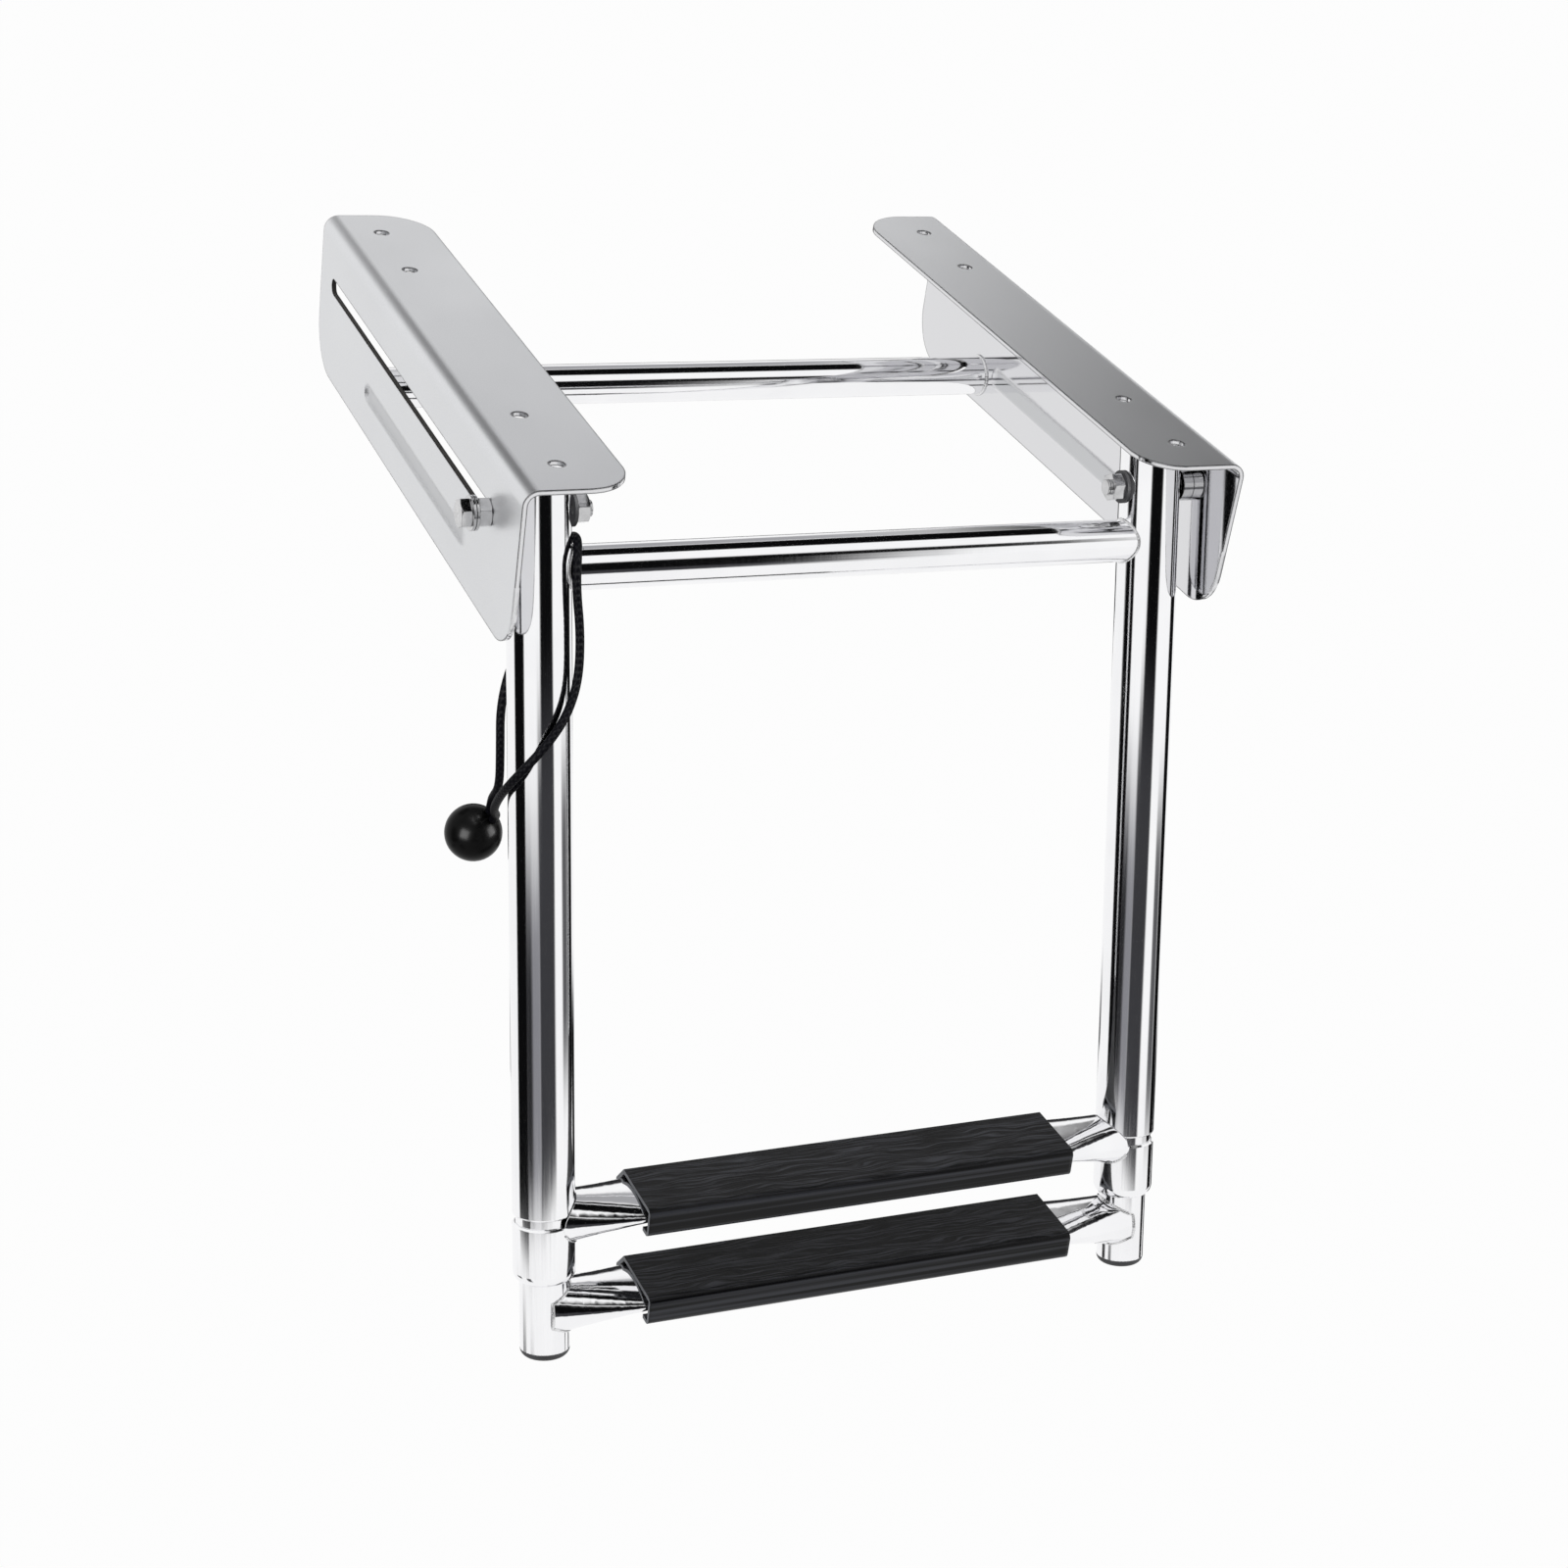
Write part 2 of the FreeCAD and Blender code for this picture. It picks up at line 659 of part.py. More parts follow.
for label, drop, tube in (("upper", "upper_step_drop", "leg"), ("lower", "lower_step_drop", "lower")):
    tools = []
    for tag, sign in (("left", -1), ("right", 1)):
        if tube == "leg":
            rim = "upper_step_drop - collar_top"
            tools.append(leg_tool(f"{label}_{tag}_collar_tool", "leg_radius", sign, "-leg_outer", rim))
            tools.append(leg_tool(f"{label}_{tag}_leg_tool", "leg_radius + slip", sign, rim, "leg_outer"))
        else:
            tools.append(leg_tool(f"{label}_{tag}_tube_tool", "lower_outer / 2", sign,
                                  "-leg_outer", "leg_outer"))
    step = cut(f"{label}_step", step_solid(f"{label}_outside", "0"),
               step_solid(f"{label}_inside", "arm_wall"), *tools)
    set_step(step, f"{label}_step_tube", drop)

    tread_label = f"{label}_tread"
    tread = document.addObject("PartDesign::Body", tread_label)
    profile = sketch_on(tread, f"{tread_label}_profile", "YZ_Plane")
    back = "tread_back"
    front = "-tread_front"
    floor = "-tread_high + tread_wall"
    round_floor = "-tread_high + tread_corner"
    round_top = "tread_high - tread_corner"
    round_back = "tread_back - tread_corner"
    round_front = "-tread_front + tread_corner"
    bevel_inside = (
        "tread_back - tread_bevel * (bevel_height - tread_wall) / bevel_height"
        " - tread_wall * bevel_run / bevel_height"
    )
    bevel_foot = "-bevel_drop - tread_wall * (bevel_run - bevel_height) / tread_bevel"
    outline(profile, [
        ("tread_back - tread_lip", "-tread_high"),
        (round_back, "-tread_high"),
        (back, round_floor, round_back, round_floor, 1),
        (back, "-bevel_drop"),
        ("tread_back - tread_bevel", "tread_high"),
        (round_front, "tread_high"),
        (front, round_top, round_front, round_top, 1),
        (front, round_floor),
        (round_front, "-tread_high", round_front, round_floor, 1),
        ("-tread_front + tread_lip", "-tread_high"),
        ("-tread_front + tread_lip", floor),
        ("-tread_front + tread_wall", floor),
        ("-tread_front + tread_wall", "tread_high - tread_wall"),
        (bevel_inside, "tread_high - tread_wall"),
        ("tread_back - tread_wall", bevel_foot),
        ("tread_back - tread_wall", floor),
        ("tread_back - tread_lip", floor),
    ])
    feature(tread, "Pad", f"{tread_label}_pad", profile, "2 * tread_half_length", Midplane=True)
    set_step(tread, tread_label, drop)

# Retaining cord: a loop from the ball across the left leg's outer side and front, over the
# front crossbar and back behind the leg. Its points are measured from the left leg's axis:
# across, out from the ladder's back and down the leg from the pivot.
CORD_ROUTE = [
    (-14.6, -31.2, 150.9),
    (-18.25, -10.1, 139.3),
    (-18.25, 8.3, 134.3),
    (-13.0, 19.0, 126.1),
    (-2.7, 21.8, 112.4),
    (8.0, 18.3, 97.3),
    (14.4, 13.7, 79.7),
    (18.0, 13.4, 57.5),
    (18.2, 15.8, 36.0),
    (17.2, 14.3, 21.2),
    (17.9, 5.3, 13.1),
    (18.8, -6.7, 13.4),
    (18.3, -15.4, 21.8),
    (13.8, -17.4, 37.5),
    (4.9, -19.7, 56.2),
    (-6.9, -20.6, 74.8),
    (-13.2, -20.8, 96.6),
    (-12.9, -22.6, 119.6),
    (-11.2, -29.8, 139.3),
    (-10.7, -42.3, 151.1),
]
CORD_START = 13.0
CORD_END = 11.0
BEND_SHARE = 0.45


def rounded_path(points):
    """Straight runs joined by tangent arcs, and the arcs' radii."""
    edges = []
    radii = []
    begin = points[0]
    for before, here, after in zip(points, points[1:], points[2:]):
        back = before - here
        on = after - here
        reach = BEND_SHARE * min(back.Length, on.Length)
        turn = math.pi - back.getAngle(on)
        radius = reach / math.tan(turn / 2)
        back.normalize()
        on.normalize()
        middle = (back + on).normalize()
        depth = math.hypot(radius, reach) - radius
        start = here + back * reach
        stop = here + on * reach
        edges.append(Part.LineSegment(begin, start).toShape())
        edges.append(Part.Arc(start, here + middle * depth, stop).toShape())
        radii.append(radius)
        begin = stop
    edges.append(Part.LineSegment(begin, points[-1]).toShape())
    return Part.Wire(edges), radii


pitch = math.radians(number("ball_pitch"))
centre = Vector(-number("ball_side"), -number("ball_behind"), number("ball_drop"))
toward = Vector(0, math.cos(pitch), -math.sin(pitch))
apart = Vector(0, math.sin(pitch), math.cos(pitch)) * (number("cord_outer + cord_gap") / 2)
seat = centre + toward * number("ball_seat")
route = [seat + apart, seat + apart + toward * CORD_START]
route += [Vector(*point) for point in CORD_ROUTE]
route += [seat - apart + toward * CORD_END, seat - apart]
ladder_points = [Vector(across, -out, -down) for across, out, down in route]
cord_wire, cord_radii = rounded_path(ladder_points)

path = document.addObject("Part::Feature", "cord_path")
path.Shape = cord_wire
tip = document.addObject("Part::Circle", "cord_tip")
first_run = ladder_points[1] - ladder_points[0]
tip.Placement = Placement(ladder_points[0], Rotation(Vector(0, 0, 1), first_run))
bind(tip, Radius="cord_outer / 2")
cord = document.addObject("Part::Sweep", "cord_sweep")
cord.Sections = [tip]
cord.Spine = (path, [f"Edge{count + 1}" for count in range(len(cord_wire.Edges))])
cord.Solid = True
hang(cord, "retaining_cord", "-leg_x")

# Ball on the cord, with a flat where both ends of the cord go in
sphere = document.addObject("Part::Sphere", "ball_sphere")
bind(sphere, Radius="ball_outer / 2")
flat = document.addObject("Part::Box", "ball_flat")
bind(flat, Length="2 * ball_outer", Width="2 * ball_outer", Height="ball_outer")
bind(flat, Placement__Base__x="-ball_outer", Placement__Base__y="-ball_outer",
     Placement__Base__z="ball_seat")
ball = cut("ball", sphere, flat)
move(
    ball,
    "-leg_x - ball_side",
    "slot_near + ball_behind * cos(tilt) - ball_drop * sin(tilt)",
    "-slot_drop - ball_behind * sin(tilt) - ball_drop * cos(tilt)",
    turn="90 - ball_pitch - tilt",
)
finish(ball, "retaining_ball")

document.recompute()
for item in document.Objects:
    if {"Invalid", "Error"} & set(item.State):
        raise RuntimeError(f"{item.Label} failed: {item.State}")
for item in nodes:
    shape = item.Shape
    if shape.isNull() or not shape.isValid():
        raise RuntimeError(f"{item.Label} has no valid shape")
    print(f"{item.Label}: {len(shape.Solids)} solid, {shape.Volume / 1000:.2f} cm3")
tube_volume = math.pi * number("cord_outer / 2") ** 2 * cord_wire.Length
print(f"cord: {cord_wire.Length:.1f} mm long, volume {cord.Shape.Volume / tube_volume:.4f} of its tube")
print("cord radii:", [round(radius, 1) for radius in cord_radii])

os.makedirs("parts", exist_ok=True)
for item in nodes:
    item.Shape.exportStep(f"parts/{item.Label}.step")
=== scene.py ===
import json
import math

import bmesh
import bpy
import numpy as np
from mathutils import Matrix, Vector

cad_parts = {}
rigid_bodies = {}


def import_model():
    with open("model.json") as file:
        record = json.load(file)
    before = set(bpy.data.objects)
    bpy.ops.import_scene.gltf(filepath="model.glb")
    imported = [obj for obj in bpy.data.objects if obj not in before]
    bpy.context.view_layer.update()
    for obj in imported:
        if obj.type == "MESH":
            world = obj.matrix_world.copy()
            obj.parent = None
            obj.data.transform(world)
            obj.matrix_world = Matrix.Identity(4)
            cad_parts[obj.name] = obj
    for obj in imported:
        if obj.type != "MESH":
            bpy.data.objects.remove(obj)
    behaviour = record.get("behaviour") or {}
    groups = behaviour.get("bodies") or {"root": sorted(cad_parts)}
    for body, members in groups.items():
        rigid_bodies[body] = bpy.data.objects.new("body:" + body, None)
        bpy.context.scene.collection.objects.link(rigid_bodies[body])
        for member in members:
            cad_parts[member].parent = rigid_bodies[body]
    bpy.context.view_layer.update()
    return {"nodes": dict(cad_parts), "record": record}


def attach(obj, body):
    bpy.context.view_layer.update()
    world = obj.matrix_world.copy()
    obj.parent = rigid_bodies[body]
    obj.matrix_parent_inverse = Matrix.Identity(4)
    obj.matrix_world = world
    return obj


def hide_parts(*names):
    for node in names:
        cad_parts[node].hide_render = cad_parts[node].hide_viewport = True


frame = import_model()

nodes = frame["nodes"]

# Looks of a folding boat ladder, in metres, in the frame of its CAD model.
MM = 0.001

# Places repeated from the part's source, in millimetres
TILT = math.radians(18.0)
PIVOT = Vector((0.0, -139.0, -31.5))
LEG_X = 166.6
LEG_RADIUS = 15.9
LOWER_RADIUS = 12.7
PLATE_INSIDE = 188.4
BAR_RADIUS = 11.1
REAR_BAR = (101.0, -68.5)
FRONT_BAR_DROP = 28.0
STEP_PITCH = math.radians(13.2)
STEP_RISE = 5.0
STEP_FORWARD = 3.0
UPPER_STEP_DROP = 356.5
LOWER_STEP_DROP = 403.5
ARM_RADIUS = 14.3
FLAT_HALF_WIDE = 19.5
FLAT_HALF_THICK = 5.5
FLAT_HALF_LENGTH = 116.0
# Depths between which the sheet's bend turns from the flange's top into the plate
FLANGE_DEPTHS = (-9.1, -8.5)
SLOT_DEPTH = -31.5
SLOT_REACH = 4.7
SLOT_WITHIN = 165.0
WALL_LEAN = 0.3
# Depth of the pressed bead, and how near to it the sheet is rounded more softly
BEAD_DEPTH = -61.5
BEAD_REACH = 10.0
BEAD_ROUNDING = 3.0
# The bead's middle, half length and half width, and how softly its painted shade begins
BEAD_MIDDLE = -11.5
BEAD_HALF_LENGTH = 91.0
BEAD_HALF_WIDTH = 6.2
BEAD_FADE = 2.4
EDGE_ROUNDING = 1.3
THREAD_PITCH = 1.25
# The bolts' thread is full inside the first of these radii and gone beyond the second
THREAD_RADII = (4.05, 4.15)
TURNING_PITCH = 0.5
# How softly the nose of the treads turns, and how far their grain strays sideways
NOSE_ROUNDING = 3.0
STRAY = 9.0
BRAID_PITCH = 3.4
BRAID_STRANDS = 5.0
SIDES = (("left", -1), ("right", 1))


def ladder(across, out, down):
    """A point of the ladder as it hangs: across, out from its back and down from the pivot."""
    y = -out * math.cos(TILT) - down * math.sin(TILT)
    z = out * math.sin(TILT) - down * math.cos(TILT)
    return (PIVOT + Vector((across, y, z))) * MM


# Camera

CAMERA_PLACE = Vector((-584.1, -1289.4, 515.3)) * MM
CAMERA_RIGHT = Vector((0.91885, -0.37176, 0.13231))
CAMERA_DOWN = Vector((-0.07617, -0.49609, -0.86492))
CAMERA_REACH = 50.0
FOCAL_PIXELS = 2865.4
PHOTO_PIXELS = 1600
SENSOR_MM = 36.0


def set_camera():
    data = bpy.data.cameras.new("camera")
    data.sensor_width = SENSOR_MM
    data.lens = FOCAL_PIXELS / PHOTO_PIXELS * SENSOR_MM
    data.clip_end = CAMERA_REACH
    camera = bpy.data.objects.new("camera", data)
    up = -CAMERA_DOWN
    back = CAMERA_RIGHT.cross(up)
    turn = Matrix((CAMERA_RIGHT, up, back)).transposed()
    camera.matrix_world = Matrix.LocRotScale(CAMERA_PLACE, turn.to_quaternion(), None)
    bpy.context.scene.collection.objects.link(camera)
    bpy.context.scene.camera = camera


# Nodes and colours

def srgb(code):
    """A colour written as sRGB hex, as linear values."""
    values = [int(code[i:i + 2], 16) / 255 for i in (1, 3, 5)]
    return (*[v / 12.92 if v <= 0.04045 else ((v + 0.055) / 1.055) ** 2.4 for v in values], 1.0)


def add(tree, kind, links=None, **settings):
    """Adds a node with its settings and links: each link is a value, an output or another node."""
    made = tree.nodes.new(kind)
    for name, value in settings.items():
        setattr(made, name, value)
    for name, value in (links or {}).items():
        if isinstance(value, bpy.types.Node):
            value = value.outputs[0]
        if isinstance(value, bpy.types.NodeSocket):
            tree.links.new(value, made.inputs[name])
        else:
            made.inputs[name].default_value = value
    return made


def mm(*lengths):
    """Lengths in millimetres, in metres."""
    return tuple(length * MM for length in lengths)


def new_material(name):
    material = bpy.data.materials.new(name)
    material.use_nodes = True
    material.node_tree.nodes.clear()
    return material, material.node_tree


# Materials

# Every pattern is stretched to the size of its grains in millimetres by a mapping of the
# texture kind, which is turned first where the pattern follows the tilted legs or the treads.
ALONG_LEGS = (-TILT, 0.0, 0.0)
ALONG_TREAD = (STEP_PITCH - TILT, 0.0, 0.0)


def polished_steel():
    """Stainless steel tube, buffed to a mirror: clean reflections that waver a little along the
    tube, and a faint haze of buffing lines, drawn 0.7 mm wide so that they show."""
    material, tree = new_material("mirror_polished_stainless_steel")
    place = add(tree, "ShaderNodeTexCoord").outputs["Object"]
    brushed = add(tree, "ShaderNodeMapping", {
        "Vector": place, "Rotation": ALONG_LEGS, "Scale": mm(0.7, 0.7, 45.0)},
        vector_type="TEXTURE")
    lines = add(tree, "ShaderNodeTexNoise", {"Vector": brushed, "Scale": 1.0, "Detail": 3.0})
    drawn = add(tree, "ShaderNodeMapping", {
        "Vector": place, "Rotation": ALONG_LEGS, "Scale": mm(26.0, 26.0, 70.0)},
        vector_type="TEXTURE")
    waver = add(tree, "ShaderNodeTexNoise", {"Vector": drawn, "Scale": 1.0, "Detail": 0.0})
    handled = add(tree, "ShaderNodeMapping", {"Vector": place, "Scale": mm(30.0, 30.0, 30.0)},
                  vector_type="TEXTURE")
    cloud = add(tree, "ShaderNodeTexNoise", {"Vector": handled, "Scale": 1.0, "Detail": 3.0})
    tone = add(tree, "ShaderNodeMix", {0: cloud, 6: srgb("#fbfbfc"), 7: srgb("#efeff1")},
               data_type="RGBA")
    rough = add(tree, "ShaderNodeMapRange", {
        "Value": lines, "From Min": 0.3, "From Max": 0.75, "To Min": 0.05, "To Max": 0.1})
    rounded = add(tree, "ShaderNodeBevel", {"Radius": 0.4 * MM}, samples=4)
    bump = add(tree, "ShaderNodeBump", {"Height": waver, "Distance": 0.06 * MM, "Normal": rounded})
    shader = add(tree, "ShaderNodeBsdfPrincipled", {
        "Base Color": tone.outputs[2], "Metallic": 1.0, "Roughness": rough, "Normal": bump})
    add(tree, "ShaderNodeOutputMaterial", {"Surface": shader})
    return material


def satin_steel():
    """Stainless steel sheet: bead-blasted satin on its outer faces, with grit drawn 0.6 mm wide
    so that it shows, left mirror bright on its inner faces, with rougher, darker grey walls in the
    slots (bare metal and painted shade), painted shade over the pressed bead and a thin painted
    shade line along its sheared edges."""
    material, tree = new_material("satin_stainless_steel_sheet")
    coordinates = add(tree, "ShaderNodeTexCoord").outputs
    place = coordinates["Object"]
    where = add(tree, "ShaderNodeSeparateXYZ", {0: place}).outputs
    facing = add(tree, "ShaderNodeSeparateXYZ", {0: coordinates["Normal"]}).outputs
    # Satin where the face looks away from the middle of the part, or up from the flange
    side = add(tree, "ShaderNodeMath", {0: where["X"]}, operation="SIGN")
    outward = add(tree, "ShaderNodeMath", {0: side, 1: facing["X"]}, operation="MULTIPLY")
    on_flange = add(tree, "ShaderNodeMapRange", {
        "Value": where["Z"], "From Min": FLANGE_DEPTHS[0] * MM, "From Max": FLANGE_DEPTHS[1] * MM})
    upward = add(tree, "ShaderNodeMath", {0: on_flange, 1: facing["Z"]}, operation="MULTIPLY")
    outside = add(tree, "ShaderNodeMath", {0: outward, 1: upward}, operation="MAXIMUM")
    satin = add(tree, "ShaderNodeMapRange", {"Value": outside, "From Min": 0.2, "From Max": 0.35})
    # Rougher walls in the slots, with a darker grey there that is partly bare metal and partly
    # painted shade
    level = add(tree, "ShaderNodeMath", {0: facing["X"], 1: 0.0, 2: WALL_LEAN},
                operation="COMPARE")
    high = add(tree, "ShaderNodeMath", {0: where["Z"], 1: SLOT_DEPTH * MM, 2: SLOT_REACH * MM},
               operation="COMPARE")
    inner = add(tree, "ShaderNodeMath", {0: where["Y"], 1: 0.0, 2: SLOT_WITHIN * MM},
                operation="COMPARE")
    wall = add(tree, "ShaderNodeMath", {0: level, 1: high}, operation="MULTIPLY")
    raw_shaded_wall = add(tree, "ShaderNodeMath", {0: wall, 1: inner}, operation="MULTIPLY")
    blasted = add(tree, "ShaderNodeMapping", {"Vector": place, "Scale": mm(0.6, 0.6, 0.6)},
                  vector_type="TEXTURE")
    grit = add(tree, "ShaderNodeTexNoise", {"Vector": blasted, "Scale": 1.0, "Detail": 2.0})
    pulled = add(tree, "ShaderNodeMapping", {"Vector": place, "Scale": mm(2.0, 160.0, 2.0)},
                 vector_type="TEXTURE")
    rolled = add(tree, "ShaderNodeTexNoise", {"Vector": pulled, "Scale": 1.0, "Detail": 2.0})
    wiped = add(tree, "ShaderNodeMapping", {"Vector": place, "Scale": mm(55.0, 90.0, 55.0)},
                vector_type="TEXTURE")
    cloud = add(tree, "ShaderNodeTexNoise", {"Vector": wiped, "Scale": 1.0, "Detail": 3.0})
    grey = add(tree, "ShaderNodeMix", {0: grit, 6: srgb("#d2d3d5"), 7: srgb("#e8e9eb")},
               data_type="RGBA")
    tone = add(tree, "ShaderNodeMix", {0: satin, 6: srgb("#dcdcde"), 7: grey.outputs[2]},
               data_type="RGBA")
    # Painted shade and bare metal: the slot walls take a dark grey
    cut_and_shaded_tone = add(tree, "ShaderNodeMix", {0: raw_shaded_wall, 6: tone.outputs[2], 7: srgb("#6b6967")},
                   data_type="RGBA")
    # Painted shade over the pressed bead, which is also rounded more softly; a thin painted shade
    # line on each sheared edge, found where rounding turns the face away from itself
    beside = add(tree, "ShaderNodeMath", {0: where["Z"], 1: -BEAD_DEPTH * MM}, operation="ADD")
    off_bead = add(tree, "ShaderNodeMath", {0: beside}, operation="ABSOLUTE")
    in_width = add(tree, "ShaderNodeMapRange", {
        "Value": off_bead, "From Min": BEAD_HALF_WIDTH * MM,
        "From Max": (BEAD_HALF_WIDTH - BEAD_FADE) * MM})
    along_bead = add(tree, "ShaderNodeMath", {0: where["Y"], 1: -BEAD_MIDDLE * MM},
                     operation="ADD")
    off_middle = add(tree, "ShaderNodeMath", {0: along_bead}, operation="ABSOLUTE")
    in_length = add(tree, "ShaderNodeMapRange", {
        "Value": off_middle, "From Min": BEAD_HALF_LENGTH * MM,
        "From Max": (BEAD_HALF_LENGTH - 2 * BEAD_FADE) * MM})
    pressed = add(tree, "ShaderNodeMath", {0: in_width, 1: in_length}, operation="MULTIPLY")
    # Painted shade: the bead gets a greyer tone than the plate around it
    bead_shaded = add(tree, "ShaderNodeMix", {0: pressed, 6: cut_and_shaded_tone.outputs[2], 7: srgb("#c3c4c6")},
                 data_type="RGBA")
    softness = add(tree, "ShaderNodeMapRange", {
        "Value": off_bead, "From Min": BEAD_REACH * MM,
        "From Max": (BEAD_REACH + BEAD_ROUNDING) * MM,
        "To Min": BEAD_ROUNDING * MM, "To Max": EDGE_ROUNDING * MM})
    rounded = add(tree, "ShaderNodeBevel", {"Radius": softness}, samples=6)
    own = add(tree, "ShaderNodeNewGeometry").outputs["Normal"]
    same = add(tree, "ShaderNodeVectorMath", {0: rounded, 1: own}, operation="DOT_PRODUCT")
    sharp = add(tree, "ShaderNodeMapRange", {
        "Value": same.outputs["Value"], "From Min": 0.992, "From Max": 0.93})
    plain = add(tree, "ShaderNodeMath", {0: softness, 1: (EDGE_ROUNDING + 0.1) * MM},
                operation="LESS_THAN")
    # Painted shade: a thin dark line where rounding turns the sheet's face away at its edges
    edge_shade_line = add(tree, "ShaderNodeMath", {0: sharp, 1: plain}, operation="MULTIPLY")
    edge_shaded = add(tree, "ShaderNodeMix", {0: edge_shade_line, 6: bead_shaded.outputs[2], 7: srgb("#242425")},
                data_type="RGBA")
    matt = add(tree, "ShaderNodeMapRange", {"Value": cloud, "To Min": 0.28, "To Max": 0.38})
    gloss = add(tree, "ShaderNodeMapRange", {"Value": satin, "To Min": 0.06, "To Max": matt})
    rough = add(tree, "ShaderNodeMath", {0: gloss, 1: raw_shaded_wall}, operation="MAXIMUM")
    height = add(tree, "ShaderNodeMath", {0: rolled, 1: 0.4, 2: grit}, operation="MULTIPLY_ADD")
    depth = add(tree, "ShaderNodeMath", {0: satin, 1: 0.012 * MM}, operation="MULTIPLY")
    bump = add(tree, "ShaderNodeBump", {"Height": height, "Distance": depth, "Normal": rounded})
    shader = add(tree, "ShaderNodeBsdfPrincipled", {
        "Base Color": edge_shaded.outputs[2], "Metallic": 1.0, "Roughness": rough, "Normal": bump})
    add(tree, "ShaderNodeOutputMaterial", {"Surface": shader})
    return material


def fastener_steel():
    """Cold-headed stainless steel nuts, washers and bolts: greyer than the tube, with painted
    shade along their corners, fine turning marks on their faces and the bolt's thread at its real
    pitch."""
    material, tree = new_material("bright_stainless_fastener")
    place = add(tree, "ShaderNodeTexCoord").outputs["Object"]
    centred = add(tree, "ShaderNodeVectorMath", {0: place, 1: PIVOT * MM}, operation="SUBTRACT")
    across = add(tree, "ShaderNodeSeparateXYZ", {0: centred}).outputs
    flat = add(tree, "ShaderNodeVectorMath", {0: centred, 1: (0.0, 1.0, 1.0)},
               operation="MULTIPLY")
    radius = add(tree, "ShaderNodeVectorMath", {0: flat}, operation="LENGTH").outputs["Value"]
    angle = add(tree, "ShaderNodeMath", {0: across["Z"], 1: across["Y"]}, operation="ARCTAN2")
    turn = add(tree, "ShaderNodeMath", {0: angle, 1: math.tau}, operation="DIVIDE")
    helix = add(tree, "ShaderNodeMath", {0: across["X"], 1: 1 / (THREAD_PITCH * MM), 2: turn},
                operation="MULTIPLY_ADD")
    thread = add(tree, "ShaderNodeMath", {0: helix, 1: 0.5}, operation="PINGPONG")
    on_bolt = add(tree, "ShaderNodeMapRange", {
        "Value": radius, "From Min": THREAD_RADII[1] * MM, "From Max": THREAD_RADII[0] * MM,
        "To Max": 10.0})
    cut = add(tree, "ShaderNodeMath", {0: thread, 1: on_bolt}, operation="MULTIPLY")
    phase = add(tree, "ShaderNodeMath", {0: radius, 1: math.tau / (TURNING_PITCH * MM)},
                operation="MULTIPLY")
    marks = add(tree, "ShaderNodeMath", {0: phase}, operation="SINE")
    height = add(tree, "ShaderNodeMath", {0: marks, 1: 0.05, 2: cut}, operation="MULTIPLY_ADD")
    worn = add(tree, "ShaderNodeMapping", {"Vector": place, "Scale": mm(3.0, 3.0, 3.0)},
               vector_type="TEXTURE")
    wear = add(tree, "ShaderNodeTexNoise", {"Vector": worn, "Scale": 1.0, "Detail": 4.0})
    tone = add(tree, "ShaderNodeMix", {0: wear, 6: srgb("#d6d6d7"), 7: srgb("#b4b4b5")},
               data_type="RGBA")
    rough = add(tree, "ShaderNodeMapRange", {
        "Value": wear, "From Min": 0.3, "From Max": 0.7, "To Min": 0.08, "To Max": 0.17})
    rounded = add(tree, "ShaderNodeBevel", {"Radius": 0.5 * MM}, samples=6)
    own = add(tree, "ShaderNodeNewGeometry").outputs["Normal"]
    same = add(tree, "ShaderNodeVectorMath", {0: rounded, 1: own}, operation="DOT_PRODUCT")
    sharp = add(tree, "ShaderNodeMapRange", {
        "Value": same.outputs["Value"], "From Min": 0.97, "From Max": 0.8})
    # Painted shade: a darker grey along the corners, where rounding turns the face away
    edge_shaded = add(tree, "ShaderNodeMix", {0: sharp, 6: tone.outputs[2], 7: srgb("#4c4c4d")},
                data_type="RGBA")
    bump = add(tree, "ShaderNodeBump", {
        "Height": height, "Distance": 0.06 * MM, "Normal": rounded})
    shader = add(tree, "ShaderNodeBsdfPrincipled", {
        "Base Color": edge_shaded.outputs[2], "Metallic": 1.0, "Roughness": rough, "Normal": bump})
    add(tree, "ShaderNodeOutputMaterial", {"Surface": shader})
    return material


